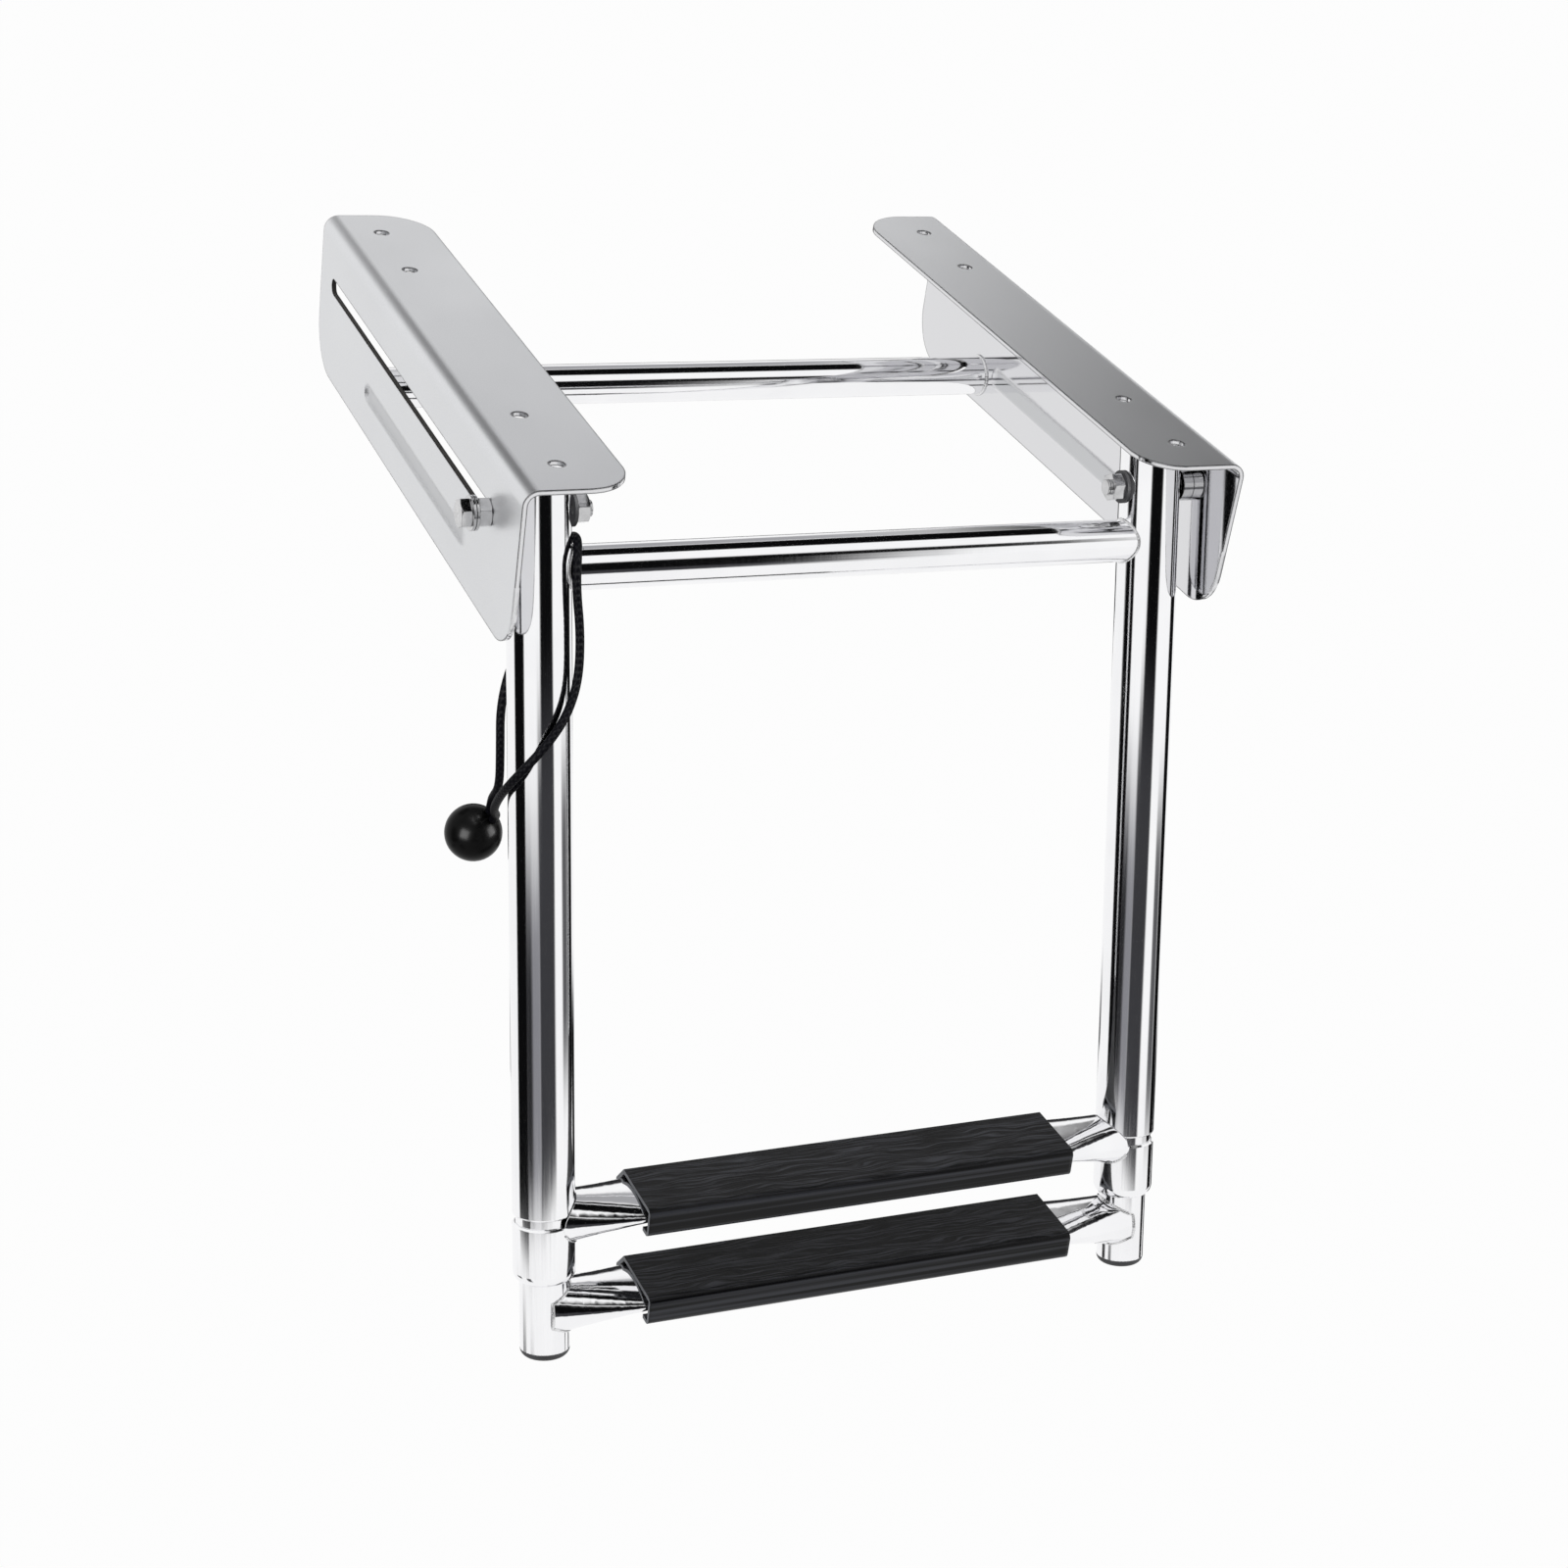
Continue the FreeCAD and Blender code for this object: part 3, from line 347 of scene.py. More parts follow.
def black_tread():
    """Extruded black PVC: a wavy wood-like grain pressed along the top, a glossier nose with fine
    extrusion lines, and paler grey where the profile was sawn off."""
    material, tree = new_material("grained_black_pvc")
    coordinates = add(tree, "ShaderNodeTexCoord").outputs
    place = coordinates["Object"]
    facing = add(tree, "ShaderNodeSeparateXYZ", {0: coordinates["Normal"]}).outputs
    top = add(tree, "ShaderNodeMapRange", {
        "Value": facing["Z"], "From Min": 0.8, "From Max": 0.97})
    end = add(tree, "ShaderNodeMath", {0: facing["X"]}, operation="ABSOLUTE")
    sawn = add(tree, "ShaderNodeMapRange", {"Value": end, "From Min": 0.6, "From Max": 0.9})
    strayed = add(tree, "ShaderNodeMapping", {
        "Vector": place, "Rotation": ALONG_TREAD, "Scale": mm(30.0, 9.0, 9.0)},
        vector_type="TEXTURE")
    stray = add(tree, "ShaderNodeTexNoise", {"Vector": strayed, "Scale": 1.0, "Detail": 1.0})
    shift = add(tree, "ShaderNodeMath", {0: stray, 1: STRAY * MM}, operation="MULTIPLY")
    sideways = add(tree, "ShaderNodeCombineXYZ", {1: shift})
    bent = add(tree, "ShaderNodeVectorMath", {0: place, 1: sideways}, operation="ADD")
    combed = add(tree, "ShaderNodeMapping", {
        "Vector": bent, "Rotation": ALONG_TREAD, "Scale": mm(30.0, 0.9, 3.0)},
        vector_type="TEXTURE")
    fibre = add(tree, "ShaderNodeTexNoise", {"Vector": combed, "Scale": 1.0, "Detail": 3.0})
    drawn = add(tree, "ShaderNodeMapping", {
        "Vector": place, "Rotation": ALONG_TREAD, "Scale": mm(400.0, 2.2, 2.2)},
        vector_type="TEXTURE")
    lines = add(tree, "ShaderNodeTexNoise", {"Vector": drawn, "Scale": 1.0, "Detail": 2.0})
    height = add(tree, "ShaderNodeMix", {0: top, 2: lines, 3: fibre})
    raised = add(tree, "ShaderNodeMapRange", {"Value": fibre, "From Min": 0.48, "From Max": 0.62})
    streaks = add(tree, "ShaderNodeMapRange", {
        "Value": lines, "From Min": 0.42, "From Max": 0.62, "To Max": 0.9})
    worn = add(tree, "ShaderNodeMix", {0: top, 2: streaks, 3: raised})
    dark = add(tree, "ShaderNodeMix", {0: worn, 6: srgb("#08080a"), 7: srgb("#3b3c41")},
               data_type="RGBA")
    saw = add(tree, "ShaderNodeMix", {0: lines, 6: srgb("#66686c"), 7: srgb("#8c8e92")},
              data_type="RGBA")
    tone = add(tree, "ShaderNodeMix", {0: sawn, 6: dark.outputs[2], 7: saw.outputs[2]},
               data_type="RGBA")
    matt = add(tree, "ShaderNodeMath", {0: top, 1: sawn}, operation="MAXIMUM")
    rough = add(tree, "ShaderNodeMapRange", {"Value": matt, "To Min": 0.12, "To Max": 0.5})
    depth = add(tree, "ShaderNodeMapRange", {
        "Value": top, "To Min": 0.04 * MM, "To Max": 0.35 * MM})
    shine = add(tree, "ShaderNodeMapRange", {"Value": top, "To Min": 0.18, "To Max": 0.23})
    roundness = add(tree, "ShaderNodeMapRange", {
        "Value": matt, "To Min": NOSE_ROUNDING * MM, "To Max": 0.5 * MM})
    rounded = add(tree, "ShaderNodeBevel", {"Radius": roundness}, samples=6)
    bump = add(tree, "ShaderNodeBump", {"Height": height, "Distance": depth, "Normal": rounded})
    shader = add(tree, "ShaderNodeBsdfPrincipled", {
        "Base Color": tone.outputs[2], "Roughness": rough, "Specular IOR Level": shine,
        "Normal": bump})
    add(tree, "ShaderNodeOutputMaterial", {"Surface": shader})
    return material


def black_rubber():
    """Moulded black rubber: matt, with the fine pits of its mould and a bloom of grey."""
    material, tree = new_material("moulded_black_rubber")
    place = add(tree, "ShaderNodeTexCoord").outputs["Object"]
    pitted = add(tree, "ShaderNodeMapping", {"Vector": place, "Scale": mm(0.7, 0.7, 0.7)},
                 vector_type="TEXTURE")
    pits = add(tree, "ShaderNodeTexNoise", {"Vector": pitted, "Scale": 1.0, "Detail": 2.0})
    bloomed = add(tree, "ShaderNodeMapping", {"Vector": place, "Scale": mm(7.0, 7.0, 7.0)},
                  vector_type="TEXTURE")
    bloom = add(tree, "ShaderNodeTexNoise", {"Vector": bloomed, "Scale": 1.0, "Detail": 3.0})
    tone = add(tree, "ShaderNodeMix", {0: bloom, 6: srgb("#09090a"), 7: srgb("#19191b")},
               data_type="RGBA")
    rough = add(tree, "ShaderNodeMapRange", {
        "Value": bloom, "From Min": 0.3, "From Max": 0.7, "To Min": 0.4, "To Max": 0.56})
    rounded = add(tree, "ShaderNodeBevel", {"Radius": 0.4 * MM}, samples=4)
    bump = add(tree, "ShaderNodeBump", {"Height": pits, "Distance": 0.05 * MM, "Normal": rounded})
    shader = add(tree, "ShaderNodeBsdfPrincipled", {
        "Base Color": tone.outputs[2], "Roughness": rough, "Specular IOR Level": 0.3,
        "Normal": bump})
    add(tree, "ShaderNodeOutputMaterial", {"Surface": shader})
    return material


def black_ball():
    """Turned black nylon: glossy, with soft swirls of handling haze in the gloss."""
    material, tree = new_material("gloss_black_nylon")
    place = add(tree, "ShaderNodeTexCoord").outputs["Object"]
    handled = add(tree, "ShaderNodeMapping", {"Vector": place, "Scale": mm(6.0, 6.0, 6.0)},
                  vector_type="TEXTURE")
    haze = add(tree, "ShaderNodeTexNoise", {"Vector": handled, "Scale": 1.0, "Distortion": 0.8})
    tone = add(tree, "ShaderNodeMix", {0: haze, 6: srgb("#010101"), 7: srgb("#040404")},
               data_type="RGBA")
    rough = add(tree, "ShaderNodeMapRange", {"Value": haze, "To Min": 0.2, "To Max": 0.3})
    bump = add(tree, "ShaderNodeBump", {"Height": haze, "Distance": 0.02 * MM})
    shader = add(tree, "ShaderNodeBsdfPrincipled", {
        "Base Color": tone.outputs[2], "Roughness": rough, "Specular IOR Level": 0.05,
        "Normal": bump})
    add(tree, "ShaderNodeOutputMaterial", {"Surface": shader})
    return material


def black_cord():
    """Braided polyester over rubber: two families of strands that cross round the cord, dull, with
    a thin light on each strand. The braid is drawn about twice its real size so that it shows."""
    material, tree = new_material("braided_black_polyester")
    braid = add(tree, "ShaderNodeUVMap", uv_map="braid")
    along, around, _ = add(tree, "ShaderNodeSeparateXYZ", {0: braid}).outputs
    turns = add(tree, "ShaderNodeMath", {0: along, 1: 1 / BRAID_PITCH}, operation="MULTIPLY")
    strands = None
    for lean in (1.0, -1.0):
        wound = add(tree, "ShaderNodeMath", {0: turns, 1: lean}, operation="MULTIPLY")
        spun = add(tree, "ShaderNodeMath", {0: around, 1: BRAID_STRANDS, 2: wound},
                   operation="MULTIPLY_ADD")
        strand = add(tree, "ShaderNodeMath", {0: spun, 1: 0.5}, operation="PINGPONG")
        if strands:
            strand = add(tree, "ShaderNodeMath", {0: strands, 1: strand}, operation="MULTIPLY")
        strands = strand
    height = add(tree, "ShaderNodeMath", {0: strands, 1: 4.0}, operation="MULTIPLY")
    tone = add(tree, "ShaderNodeMix", {0: height, 6: srgb("#010102"), 7: srgb("#08080a")},
               data_type="RGBA")
    bump = add(tree, "ShaderNodeBump", {"Height": height, "Distance": 0.3 * MM})
    shader = add(tree, "ShaderNodeBsdfPrincipled", {
        "Base Color": tone.outputs[2], "Roughness": 0.45, "Specular IOR Level": 0.02,
        "Normal": bump})
    add(tree, "ShaderNodeOutputMaterial", {"Surface": shader})
    return material


def weld_metal():
    """Stainless weld metal, brushed after welding: bright ripples with a duller grey between."""
    material, tree = new_material("brushed_stainless_weld")
    place = add(tree, "ShaderNodeTexCoord").outputs["Object"]
    specked = add(tree, "ShaderNodeMapping", {"Vector": place, "Scale": mm(1.1, 1.1, 1.1)},
                  vector_type="TEXTURE")
    flecks = add(tree, "ShaderNodeTexNoise", {"Vector": specked, "Scale": 1.0, "Detail": 3.0})
    tone = add(tree, "ShaderNodeMix", {0: flecks, 6: srgb("#c8c8c9"), 7: srgb("#f4f4f5")},
               data_type="RGBA")
    rough = add(tree, "ShaderNodeMapRange", {"Value": flecks, "To Min": 0.3, "To Max": 0.1})
    bump = add(tree, "ShaderNodeBump", {"Height": flecks, "Distance": 0.06 * MM})
    shader = add(tree, "ShaderNodeBsdfPrincipled", {
        "Base Color": tone.outputs[2], "Metallic": 1.0, "Roughness": rough, "Normal": bump})
    add(tree, "ShaderNodeOutputMaterial", {"Surface": shader})
    return material


FINISHES = {
    "satin_steel": satin_steel(),
    "polished_steel": polished_steel(),
    "fastener_steel": fastener_steel(),
    "black_tread": black_tread(),
    "black_rubber": black_rubber(),
    "black_ball": black_ball(),
    "black_cord": black_cord(),
}
WELD_METAL = weld_metal()


def dress_nodes():
    """Gives every piece of the CAD model the finish of its slot."""
    slots = {part["node"]: part["material_slot"] for part in frame["record"]["subparts"]}
    for name, item in nodes.items():
        for slot in item.material_slots:
            slot.material = FINISHES[slots[name]]


# Tubes along a line

def tube_mesh(name, line, radii, around, closed=False, braid=False):
    """A round tube of the given radius at each point of a line, with uv in millimetres along
    and turns round it, so that a braid can follow it."""
    line = [Vector(point) for point in line]
    count = len(line)
    mesh = bmesh.new()
    uv = mesh.loops.layers.uv.new("braid") if braid else None
    angles = [math.tau * step / around for step in range(around)]
    side = None
    rings = []
    travelled = [0.0]
    for index, here in enumerate(line):
        before = line[index - 1] if index or closed else here
        after = line[(index + 1) % count] if index < count - 1 or closed else here
        tangent = (after - before).normalized()
        if side is None:
            side = tangent.orthogonal()
        side = (side - tangent * side.dot(tangent)).normalized()
        other = tangent.cross(side)
        spokes = [side * math.cos(a) + other * math.sin(a) for a in angles]
        rings.append([mesh.verts.new(here + spoke * radii[index]) for spoke in spokes])
        travelled.append(travelled[-1] + (line[(index + 1) % count] - here).length / MM)
    for index in range(count if closed else count - 1):
        first, second = rings[index], rings[(index + 1) % count]
        for step in range(around):
            face = mesh.faces.new((first[step], first[(step + 1) % around],
                                   second[(step + 1) % around], second[step]))
            face.smooth = True
            if uv is not None:
                turns = (step, step + 1, step + 1, step)
                ends = (index, index, index + 1, index + 1)
                for loop, turn, end in zip(face.loops, turns, ends):
                    loop[uv].uv = (travelled[end], turn / around)
    if not closed:
        mesh.faces.new(rings[0][::-1])
        mesh.faces.new(rings[-1])
    data = bpy.data.meshes.new(name)
    bmesh.ops.recalc_face_normals(mesh, faces=mesh.faces)
    mesh.to_mesh(data)
    mesh.free()
    item = bpy.data.objects.new(name, data)
    bpy.context.scene.collection.objects.link(item)
    return item


# Retaining cord and its ball

CORD_DIAMETER = 4.3
CORD_GAP = 0.4
# Sides round the cord, and steps along each stretch of its spline
CORD_SIDES = 24
CORD_STEPS = 24
# Points across, out and down, in millimetres. The ball's is measured from the left leg's axis,
# its mouth looks along BALL_AXIS, and the leads are measured from its middle.
BALL = Vector((-11.5, -74.0, 172.6))
BALL_AXIS = Vector((0.5, 0.536, -0.678)).normalized()
BALL_RADIUS = 14.8
BALL_RINGS = 60
BALL_SIDES = 64
# How far the source pitches the ball, which sets how the cord's two ends lie side by side
BALL_PITCH = math.radians(36.9)
MOUTH_RADIUS = 5.6
LIP_RADIUS = 4.9
LIP_HEIGHT = 13.95
FIRST_LEAD = Vector((7.0, 19.0, -12.5))
LAST_LEAD = Vector((5.0, 15.5, -19.8))
# The loop, measured from the left leg's axis: the source's route, drawn in closer to the leg
# over the front crossbar, straight from the ball to the leg, and turned toward the ball's mouth
CORD_ROUTE = (
    (-14.2, -31.3, 152.0), (-18.3, -10.1, 141.0), (-18.4, 8.3, 130.0), (-13.1, 19.2, 119.5),
    (-2.7, 21.9, 108.0), (8.0, 18.3, 95.5), (15.2, 13.7, 79.7), (16.3, 13.3, 57.5),
    (13.9, 14.5, 36.0), (14.6, 14.6, 20.6), (17.9, 5.3, 13.1), (18.8, -6.7, 13.4),
    (18.3, -15.4, 21.8), (13.8, -17.4, 37.5), (4.9, -19.7, 56.2), (-6.9, -20.6, 74.8),
    (-13.2, -20.8, 96.6), (-12.9, -22.6, 119.6), (-11.2, -29.8, 139.3), (-10.0, -45.0, 147.8),
)


def by_left_leg(point):
    """A point measured from the left leg's axis, in the whole frame."""
    return ladder(point.x - LEG_X, point.y, point.z)


def cord_points():
    """The cord's whole route, from the ball's mouth back to it."""
    apart = Vector((0.0, math.sin(BALL_PITCH), math.cos(BALL_PITCH)))
    across = (apart - BALL_AXIS * apart.dot(BALL_AXIS)).normalized()
    apart = across * (CORD_DIAMETER + CORD_GAP) / 2
    seat = BALL + BALL_AXIS * LIP_HEIGHT
    route = [seat + apart, BALL + FIRST_LEAD]
    route += [Vector(point) for point in CORD_ROUTE]
    route += [BALL + LAST_LEAD, seat - apart]
    return [by_left_leg(point) for point in route]


def smooth_line(name, points):
    """Points along the NURBS spline that follows the route, as a list."""
    data = bpy.data.curves.new(name, "CURVE")
    data.dimensions = "3D"
    data.resolution_u = CORD_STEPS
    spline = data.splines.new("NURBS")
    spline.points.add(len(points) - 1)
    for target, point in zip(spline.points, points):
        target.co = (*point, 1.0)
    spline.order_u = 3
    spline.use_endpoint_u = True
    item = bpy.data.objects.new(name, data)
    bpy.context.scene.collection.objects.link(item)
    mesh = bpy.data.meshes.new_from_object(item)
    line = [vertex.co.copy() for vertex in mesh.vertices]
    bpy.data.meshes.remove(mesh)
    bpy.data.objects.remove(item)
    bpy.data.curves.remove(data)
    return line


def make_ball():
    """A turned ball with a low moulded lip round the mouth where both ends of the cord go in."""
    mouth = math.asin(MOUTH_RADIUS / BALL_RADIUS)
    profile = []
    for ring in range(BALL_RINGS):
        turn = math.pi - (math.pi - mouth) * (ring + 0.5) / BALL_RINGS
        profile.append((BALL_RADIUS * math.cos(turn), BALL_RADIUS * math.sin(turn)))
    blend = (LIP_HEIGHT - profile[-1][0]) / 2
    profile.append((profile[-1][0] + blend, MOUTH_RADIUS - blend))
    profile.append((LIP_HEIGHT, LIP_RADIUS))
    line = [by_left_leg(BALL + BALL_AXIS * along) for along, _ in profile]
    ball = tube_mesh("turned_ball", line, [radius * MM for _, radius in profile], BALL_SIDES)
    ball.data.materials.append(FINISHES["black_ball"])
    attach(ball, "upper_frame")
    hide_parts("retaining_ball")
    return ball


def make_cord(ball):
    points = cord_points()
    line = smooth_line("cord_line", points)
    cord = tube_mesh("elastic_cord", line, [CORD_DIAMETER / 2 * MM] * len(line), CORD_SIDES,
                     braid=True)
    cord.data.materials.append(FINISHES["black_cord"])
    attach(cord, "upper_frame")
    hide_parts("retaining_cord")


# Weld beads

WELD_RADIUS = 0.85
WELD_SIDES = 12
RIPPLE = 1.6
# Shares of the radius: where a ripple starts, how much it swells and how uneven it is
RIPPLE_START = 0.82
RIPPLE_SWELL = 0.18
RIPPLE_STRAY = 0.06
STRAY_TURN = 1.7
# The rear bar's beads stand this far off the bar and off the plates
CORNER = 0.3
# The upper arms stand level with the tops of the collars, so only their lower side meets them
LOW_SIDE = (math.pi * 1.04, math.pi * 1.96)
# Points along a bead round a bar, round an arm and along an arm's lower side
BAR_STEPS = 168
ARM_STEPS = 200
LOW_SIDE_STEPS = 110
# Halvings that find where an arm meets a tube
HALVINGS = 30


def weld(name, line, body, closed):
    """A bead of overlapping ripples along a joint; line is in metres."""
    length = sum((b - a).length for a, b in zip(line, line[1:])) / MM
    ripples = max(3, round(length / RIPPLE))
    radii = []
    for index in range(len(line)):
        phase = index / len(line) * ripples % 1.0
        swell = RIPPLE_START + RIPPLE_SWELL * math.sqrt(phase)
        swell += RIPPLE_STRAY * math.sin(index * STRAY_TURN)
        radii.append(WELD_RADIUS * swell * MM)
    bead = tube_mesh(name, line, radii, WELD_SIDES, closed)
    bead.data.materials.append(WELD_METAL)
    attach(bead, body)


def step_point(point, drop):
    """A point of a step's own frame, whose Z is square to the tread, in the whole frame."""
    angle = STEP_PITCH - TILT
    inward = -STEP_FORWARD
    up = STEP_RISE - drop
    y = PIVOT.y + inward * math.cos(TILT) + up * math.sin(TILT)
    z = PIVOT.z - inward * math.sin(TILT) + up * math.cos(TILT)
    y += point.y * math.cos(angle) - point.z * math.sin(angle)
    z += point.y * math.sin(angle) + point.z * math.cos(angle)
    return Vector((point.x, y, z)) * MM


def arm_joint(sign, radius, start, stop, steps):
    """Where an arm of a step meets a tube of that radius, in the step's frame."""
    arm_y = STEP_FORWARD * math.cos(STEP_PITCH) - STEP_RISE * math.sin(STEP_PITCH)
    arm_z = -STEP_FORWARD * math.sin(STEP_PITCH) - STEP_RISE * math.cos(STEP_PITCH)
    centre = Vector((LEG_X, arm_y, arm_z))
    axis = Vector((0.0, math.sin(STEP_PITCH), math.cos(STEP_PITCH)))
    found = []
    for step in range(steps):
        a = start + (stop - start) * step / steps
        near = centre + Vector((0.0, math.cos(a), math.sin(a))) * ARM_RADIUS
        far = Vector((FLAT_HALF_LENGTH,
                      math.cos(a) * FLAT_HALF_WIDE, math.sin(a) * FLAT_HALF_THICK))
        low, high = 0.0, 1.0
        for _ in range(HALVINGS):
            middle = (low + high) / 2
            reach = near.lerp(far, middle) - centre
            inside = (reach - axis * reach.dot(axis)).length < radius
            low, high = (middle, high) if inside else (low, middle)
        place = near.lerp(far, low)
        found.append(Vector((sign * place.x, place.y, place.z)))
    return found


def make_welds():
    angles = [math.tau * step / BAR_STEPS for step in range(BAR_STEPS)]
    for side_name, sign in SIDES:
        ring = BAR_RADIUS + CORNER
        x = sign * (PLATE_INSIDE - CORNER)
        weld(f"{side_name}_rear_bar_weld", [
            Vector((x, REAR_BAR[0] + ring * math.cos(a), REAR_BAR[1] + ring * math.sin(a))) * MM
            for a in angles], "brackets", True)
        saddle = []
        for a in angles:
            out = BAR_RADIUS * math.cos(a)
            reach = LEG_X - math.sqrt(LEG_RADIUS ** 2 - out ** 2)
            saddle.append(ladder(sign * reach, out, FRONT_BAR_DROP + BAR_RADIUS * math.sin(a)))
        weld(f"{side_name}_front_bar_weld", saddle, "upper_frame", True)
        low_side = arm_joint(sign, LEG_RADIUS, *LOW_SIDE, LOW_SIDE_STEPS)
        weld(f"{side_name}_upper_arm_weld", [step_point(p, UPPER_STEP_DROP) for p in low_side],
             "middle_stage", False)
        whole = arm_joint(sign, LOWER_RADIUS, 0.0, math.tau, ARM_STEPS)
        weld(f"{side_name}_lower_arm_weld", [step_point(p, LOWER_STEP_DROP) for p in whole],
             "lower_stage", True)


# Studio

# How strongly the world lights, how white the floor is, and its half width and level in metres
WORLD_LIGHT = 0.75
FLOOR_WHITE = 0.94
FLOOR_HALF = 8.0
FLOOR_LEVEL = -1.4


def set_world():
    """White to the camera, to reflections and through glass; softer as a light."""
    world = bpy.data.worlds.new("studio")
    world.use_nodes = True
    bpy.context.scene.world = world
    tree = world.node_tree
    tree.nodes.clear()
    soft = add(tree, "ShaderNodeBackground", {"Color": srgb("#ffffff"), "Strength": WORLD_LIGHT})
    white = add(tree, "ShaderNodeBackground", {"Color": srgb("#ffffff"), "Strength": 1.0})
    mixed = add(tree, "ShaderNodeMixShader", {0: shown_white(tree), 1: soft, 2: white})
    add(tree, "ShaderNodeOutputWorld", {"Surface": mixed})


def shown_white(tree):
    """1 for what the camera, reflections and glass see."""
    path = add(tree, "ShaderNodeLightPath").outputs
    seen = add(tree, "ShaderNodeMath", {0: path["Is Camera Ray"], 1: path["Is Glossy Ray"]},
               operation="MAXIMUM")
    return add(tree, "ShaderNodeMath", {0: seen, 1: path["Is Transmission Ray"]},
               operation="MAXIMUM")


def set_floor():
    material, tree = new_material("white_paper_floor")
    matte = add(tree, "ShaderNodeBsdfDiffuse", {"Color": srgb("#f4f4f4")})
    white = add(tree, "ShaderNodeEmission", {"Color": srgb("#ffffff"), "Strength": 1.0})
    share = add(tree, "ShaderNodeMath", {0: shown_white(tree), 1: FLOOR_WHITE},
                operation="MULTIPLY")
    mixed = add(tree, "ShaderNodeMixShader", {0: share, 1: matte, 2: white})
    add(tree, "ShaderNodeOutputMaterial", {"Surface": mixed})
    mesh = bpy.data.meshes.new("floor")
    corners = [(x * FLOOR_HALF, y * FLOOR_HALF, FLOOR_LEVEL)
               for x, y in ((-1, -1), (1, -1), (1, 1), (-1, 1))]
    mesh.from_pydata(corners, [], [(0, 1, 2, 3)])
    mesh.materials.append(material)
    floor = bpy.data.objects.new("floor", mesh)
    bpy.context.scene.collection.objects.link(floor)


# Grey and black cards round the ladder, which only its reflections see. Each stands upright
# along the ladder, or lies along its crossbars, and has its ends in degrees round that
# direction, its two edges in degrees along it, how far it fades at its ends, at its first
# edge and at its second, and its tone.
CARD_DISTANCE = 2.5
# Cards that hang lower than this stand nearer, so that the floor doesn't hide them
LOW_CARD = -26.0
LOW_CARD_DISTANCE = 1.55
# Each card stands this much further out than the one before it
CARD_GAP = 0.02
CARD_STEP = 1.0
CARDS = (
    ("upright", 157.0, 200.0, -30.4, 12.0, 4.0, 1.2, 6.0, "#0c0c0d"),
    ("upright", 190.0, 222.0, -29.4, -16.0, 11.0, 2.3, 6.0, "#2c2c2e"),
    ("upright", 188.0, 246.0, -29.4, -15.0, 7.0, 2.3, 6.0, "#88888d"),
    ("upright", 236.0, 299.0, -29.3, -12.0, 9.0, 1.2, 5.0, "#3c3c3f"),
    ("upright", 248.0, 298.0, -24.0, 16.0, 7.0, 6.0, 5.0, "#0c0c0d"),
    ("upright", 322.0, 356.0, -28.0, -15.0, 9.0, 3.0, 4.0, "#5c5c5e"),
    ("upright", 350.0, 386.0, -40.0, 8.0, 5.0, 4.0, 6.0, "#0e0e0f"),
    ("across", 61.0, 106.0, 3.0, 42.0, 4.0, 4.0, 6.0, "#0b0b0c"),
    ("across", 139.0, 160.0, -4.0, 33.0, 5.0, 6.0, 4.0, "#131314"),
    ("across", 99.0, 140.0, -15.0, 9.0, 5.0, 4.0, 5.0, "#0b0b0c"),
    ("across", 163.0, 176.0, -18.0, 14.0, 4.0, 5.0, 5.0, "#7c7c7e"),
    ("across", 84.0, 107.0, 32.0, 50.0, 5.0, 3.0, 5.0, "#343436"),
    ("across", 24.0, 64.0, -2.0, 30.0, 8.0, 9.0, 6.0, "#a6a6a9"),
    ("across", 15.0, 66.0, 22.0, 74.0, 8.0, 12.0, 8.0, "#060607"),
    ("across", 20.0, 52.0, -36.0, 8.0, 5.0, 8.0, 8.0, "#262628"),
    ("upright", 46.0, 90.0, -33.0, 20.0, 8.0, 5.0, 8.0, "#2c2c2e"),
    ("upright", 18.0, 52.0, -58.0, -26.0, 6.0, 6.0, 3.0, "#141415"),
    ("upright", 70.0, 100.0, -58.0, -26.0, 6.0, 6.0, 3.0, "#4a4a4c"),
    ("upright", 140.0, 168.0, -58.0, -34.0, 6.0, 6.0, 4.0, "#0e0e0f"),
    ("upright", 184.0, 206.0, -58.0, -34.0, 6.0, 6.0, 4.0, "#4a4a4c"),
)


def card_cover(value, low, high, fade_low, fade_high):
    """How much of a card is there: 0 at its edges, 1 once its fades are done."""
    share = min(1.0, max(0.0, (value - low) / fade_low), max(0.0, (high - value) / fade_high))
    return share * share * (3 - 2 * share)


def card_place(lie, turn, along, distance):
    """A point at that distance, from degrees round and along a card's direction."""
    a, e = math.radians(turn), math.radians(along)
    if lie == "across":
        lying = (math.sin(e), math.cos(e) * math.cos(a), math.cos(e) * math.sin(a))
        return Vector(lying) * distance
    x, y, z = math.cos(e) * math.cos(a), math.cos(e) * math.sin(a), math.sin(e)
    tilted = (x, y * math.cos(TILT) + z * math.sin(TILT), z * math.cos(TILT) - y * math.sin(TILT))
    return Vector(tilted) * distance


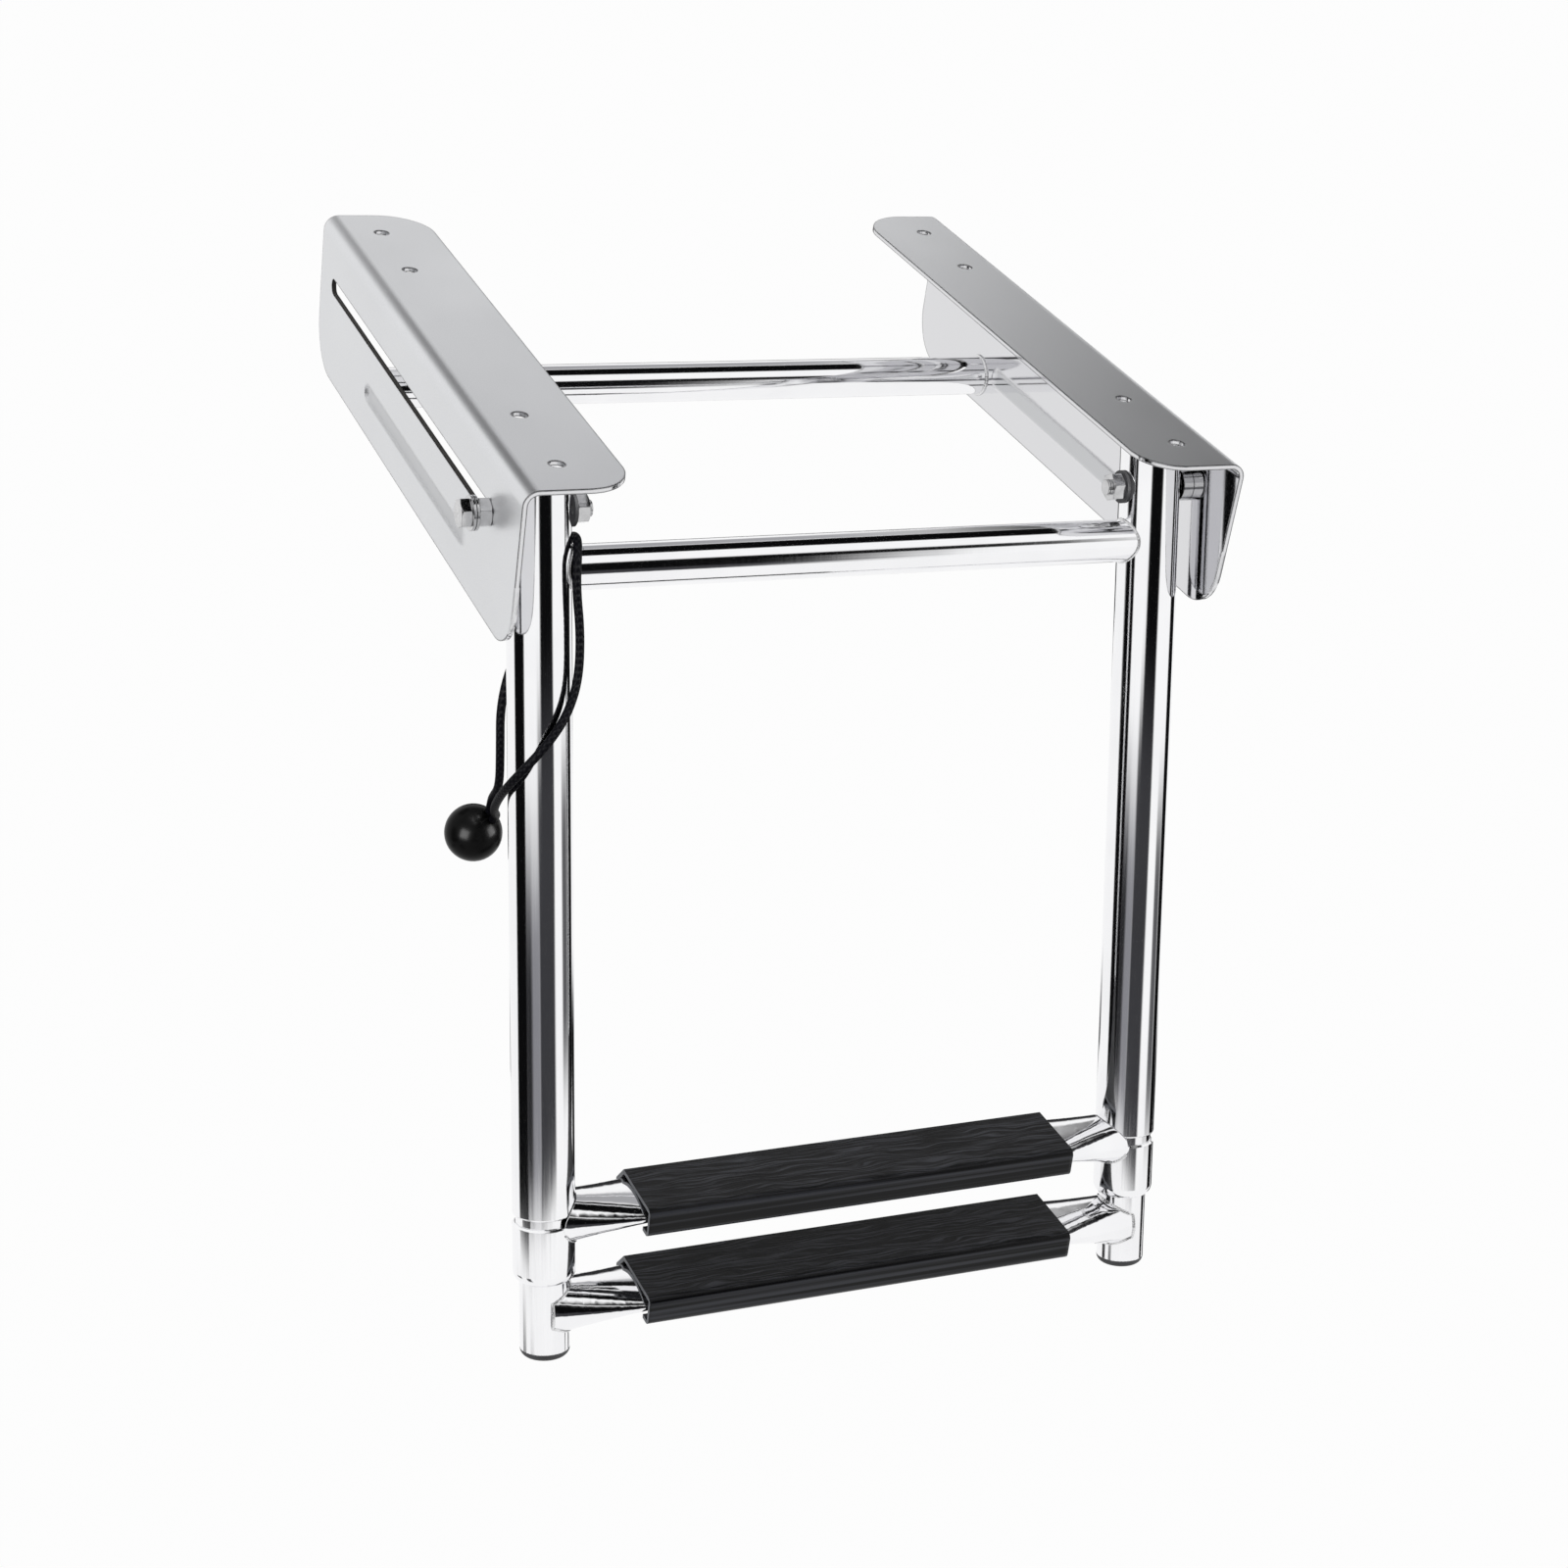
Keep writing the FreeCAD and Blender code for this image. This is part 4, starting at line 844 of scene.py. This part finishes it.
def set_cards():
    for count, (lie, start, stop, low, high, fade_ends, *fades, tone) in enumerate(CARDS):
        material, tree = new_material(f"card_{count}")
        cover = add(tree, "ShaderNodeAttribute", attribute_name="cover").outputs["Fac"]
        clear = add(tree, "ShaderNodeBsdfTransparent")
        dark = add(tree, "ShaderNodeEmission", {"Color": srgb(tone), "Strength": 1.0})
        mixed = add(tree, "ShaderNodeMixShader", {0: cover, 1: clear, 2: dark})
        add(tree, "ShaderNodeOutputMaterial", {"Surface": mixed})
        turns = np.linspace(start, stop, max(3, round((stop - start) / CARD_STEP)))
        alongs = np.linspace(low, high, max(3, round((high - low) / CARD_STEP)))
        distance = (LOW_CARD_DISTANCE if high <= LOW_CARD else CARD_DISTANCE) + CARD_GAP * count
        places, covers = [], []
        for along in alongs:
            for turn in turns:
                places.append(card_place(lie, turn, along, distance))
                covers.append(card_cover(turn, start, stop, fade_ends, fade_ends)
                              * card_cover(along, low, high, *fades))
        width = len(turns)
        faces = [(r * width + c, r * width + c + 1, (r + 1) * width + c + 1, (r + 1) * width + c)
                 for r in range(len(alongs) - 1) for c in range(width - 1)]
        mesh = bpy.data.meshes.new(f"card_{count}")
        mesh.from_pydata(places, [], faces)
        mesh.attributes.new("cover", "FLOAT", "POINT").data.foreach_set("value", covers)
        mesh.materials.append(material)
        card = bpy.data.objects.new(f"card_{count}", mesh)
        bpy.context.scene.collection.objects.link(card)
        card.visible_camera = False
        card.visible_diffuse = False
        card.visible_shadow = False


# Softboxes: their direction from the part, their side in metres and their power in watts. They
# light the ball, the cord and the black rubber alone, as the steel is lit by what it mirrors.
LAMP_DISTANCE = 2.2
LAMPS = (
    ("left_softbox", (-0.813, -0.562, 0.157), 1.2, 170.0),
    ("right_softbox", (0.833, -0.507, 0.187), 1.2, 140.0),
    ("top_softbox", (0.026, -0.186, 0.984), 1.1, 140.0),
)


def set_lamps():
    black = bpy.data.collections.new("ball_cord_and_rubber")
    finishes = [FINISHES[name] for name in ("black_ball", "black_cord", "black_rubber")]
    for item in bpy.context.scene.objects:
        if any(slot.material in finishes for slot in item.material_slots):
            black.objects.link(item)
    for name, direction, side, watts in LAMPS:
        data = bpy.data.lights.new(name, "AREA")
        data.shape = "SQUARE"
        data.size = side
        data.energy = watts
        item = bpy.data.objects.new(name, data)
        item.location = Vector(direction) * LAMP_DISTANCE
        item.rotation_euler = Vector(direction).to_track_quat("Z", "Y").to_euler()
        item.light_linking.receiver_collection = black
        item.light_linking.blocker_collection = black
        bpy.context.scene.collection.objects.link(item)


set_camera()
dress_nodes()
make_cord(make_ball())
make_welds()
set_world()
set_floor()
set_cards()
set_lamps()
bpy.context.scene.view_settings.view_transform = "Standard"
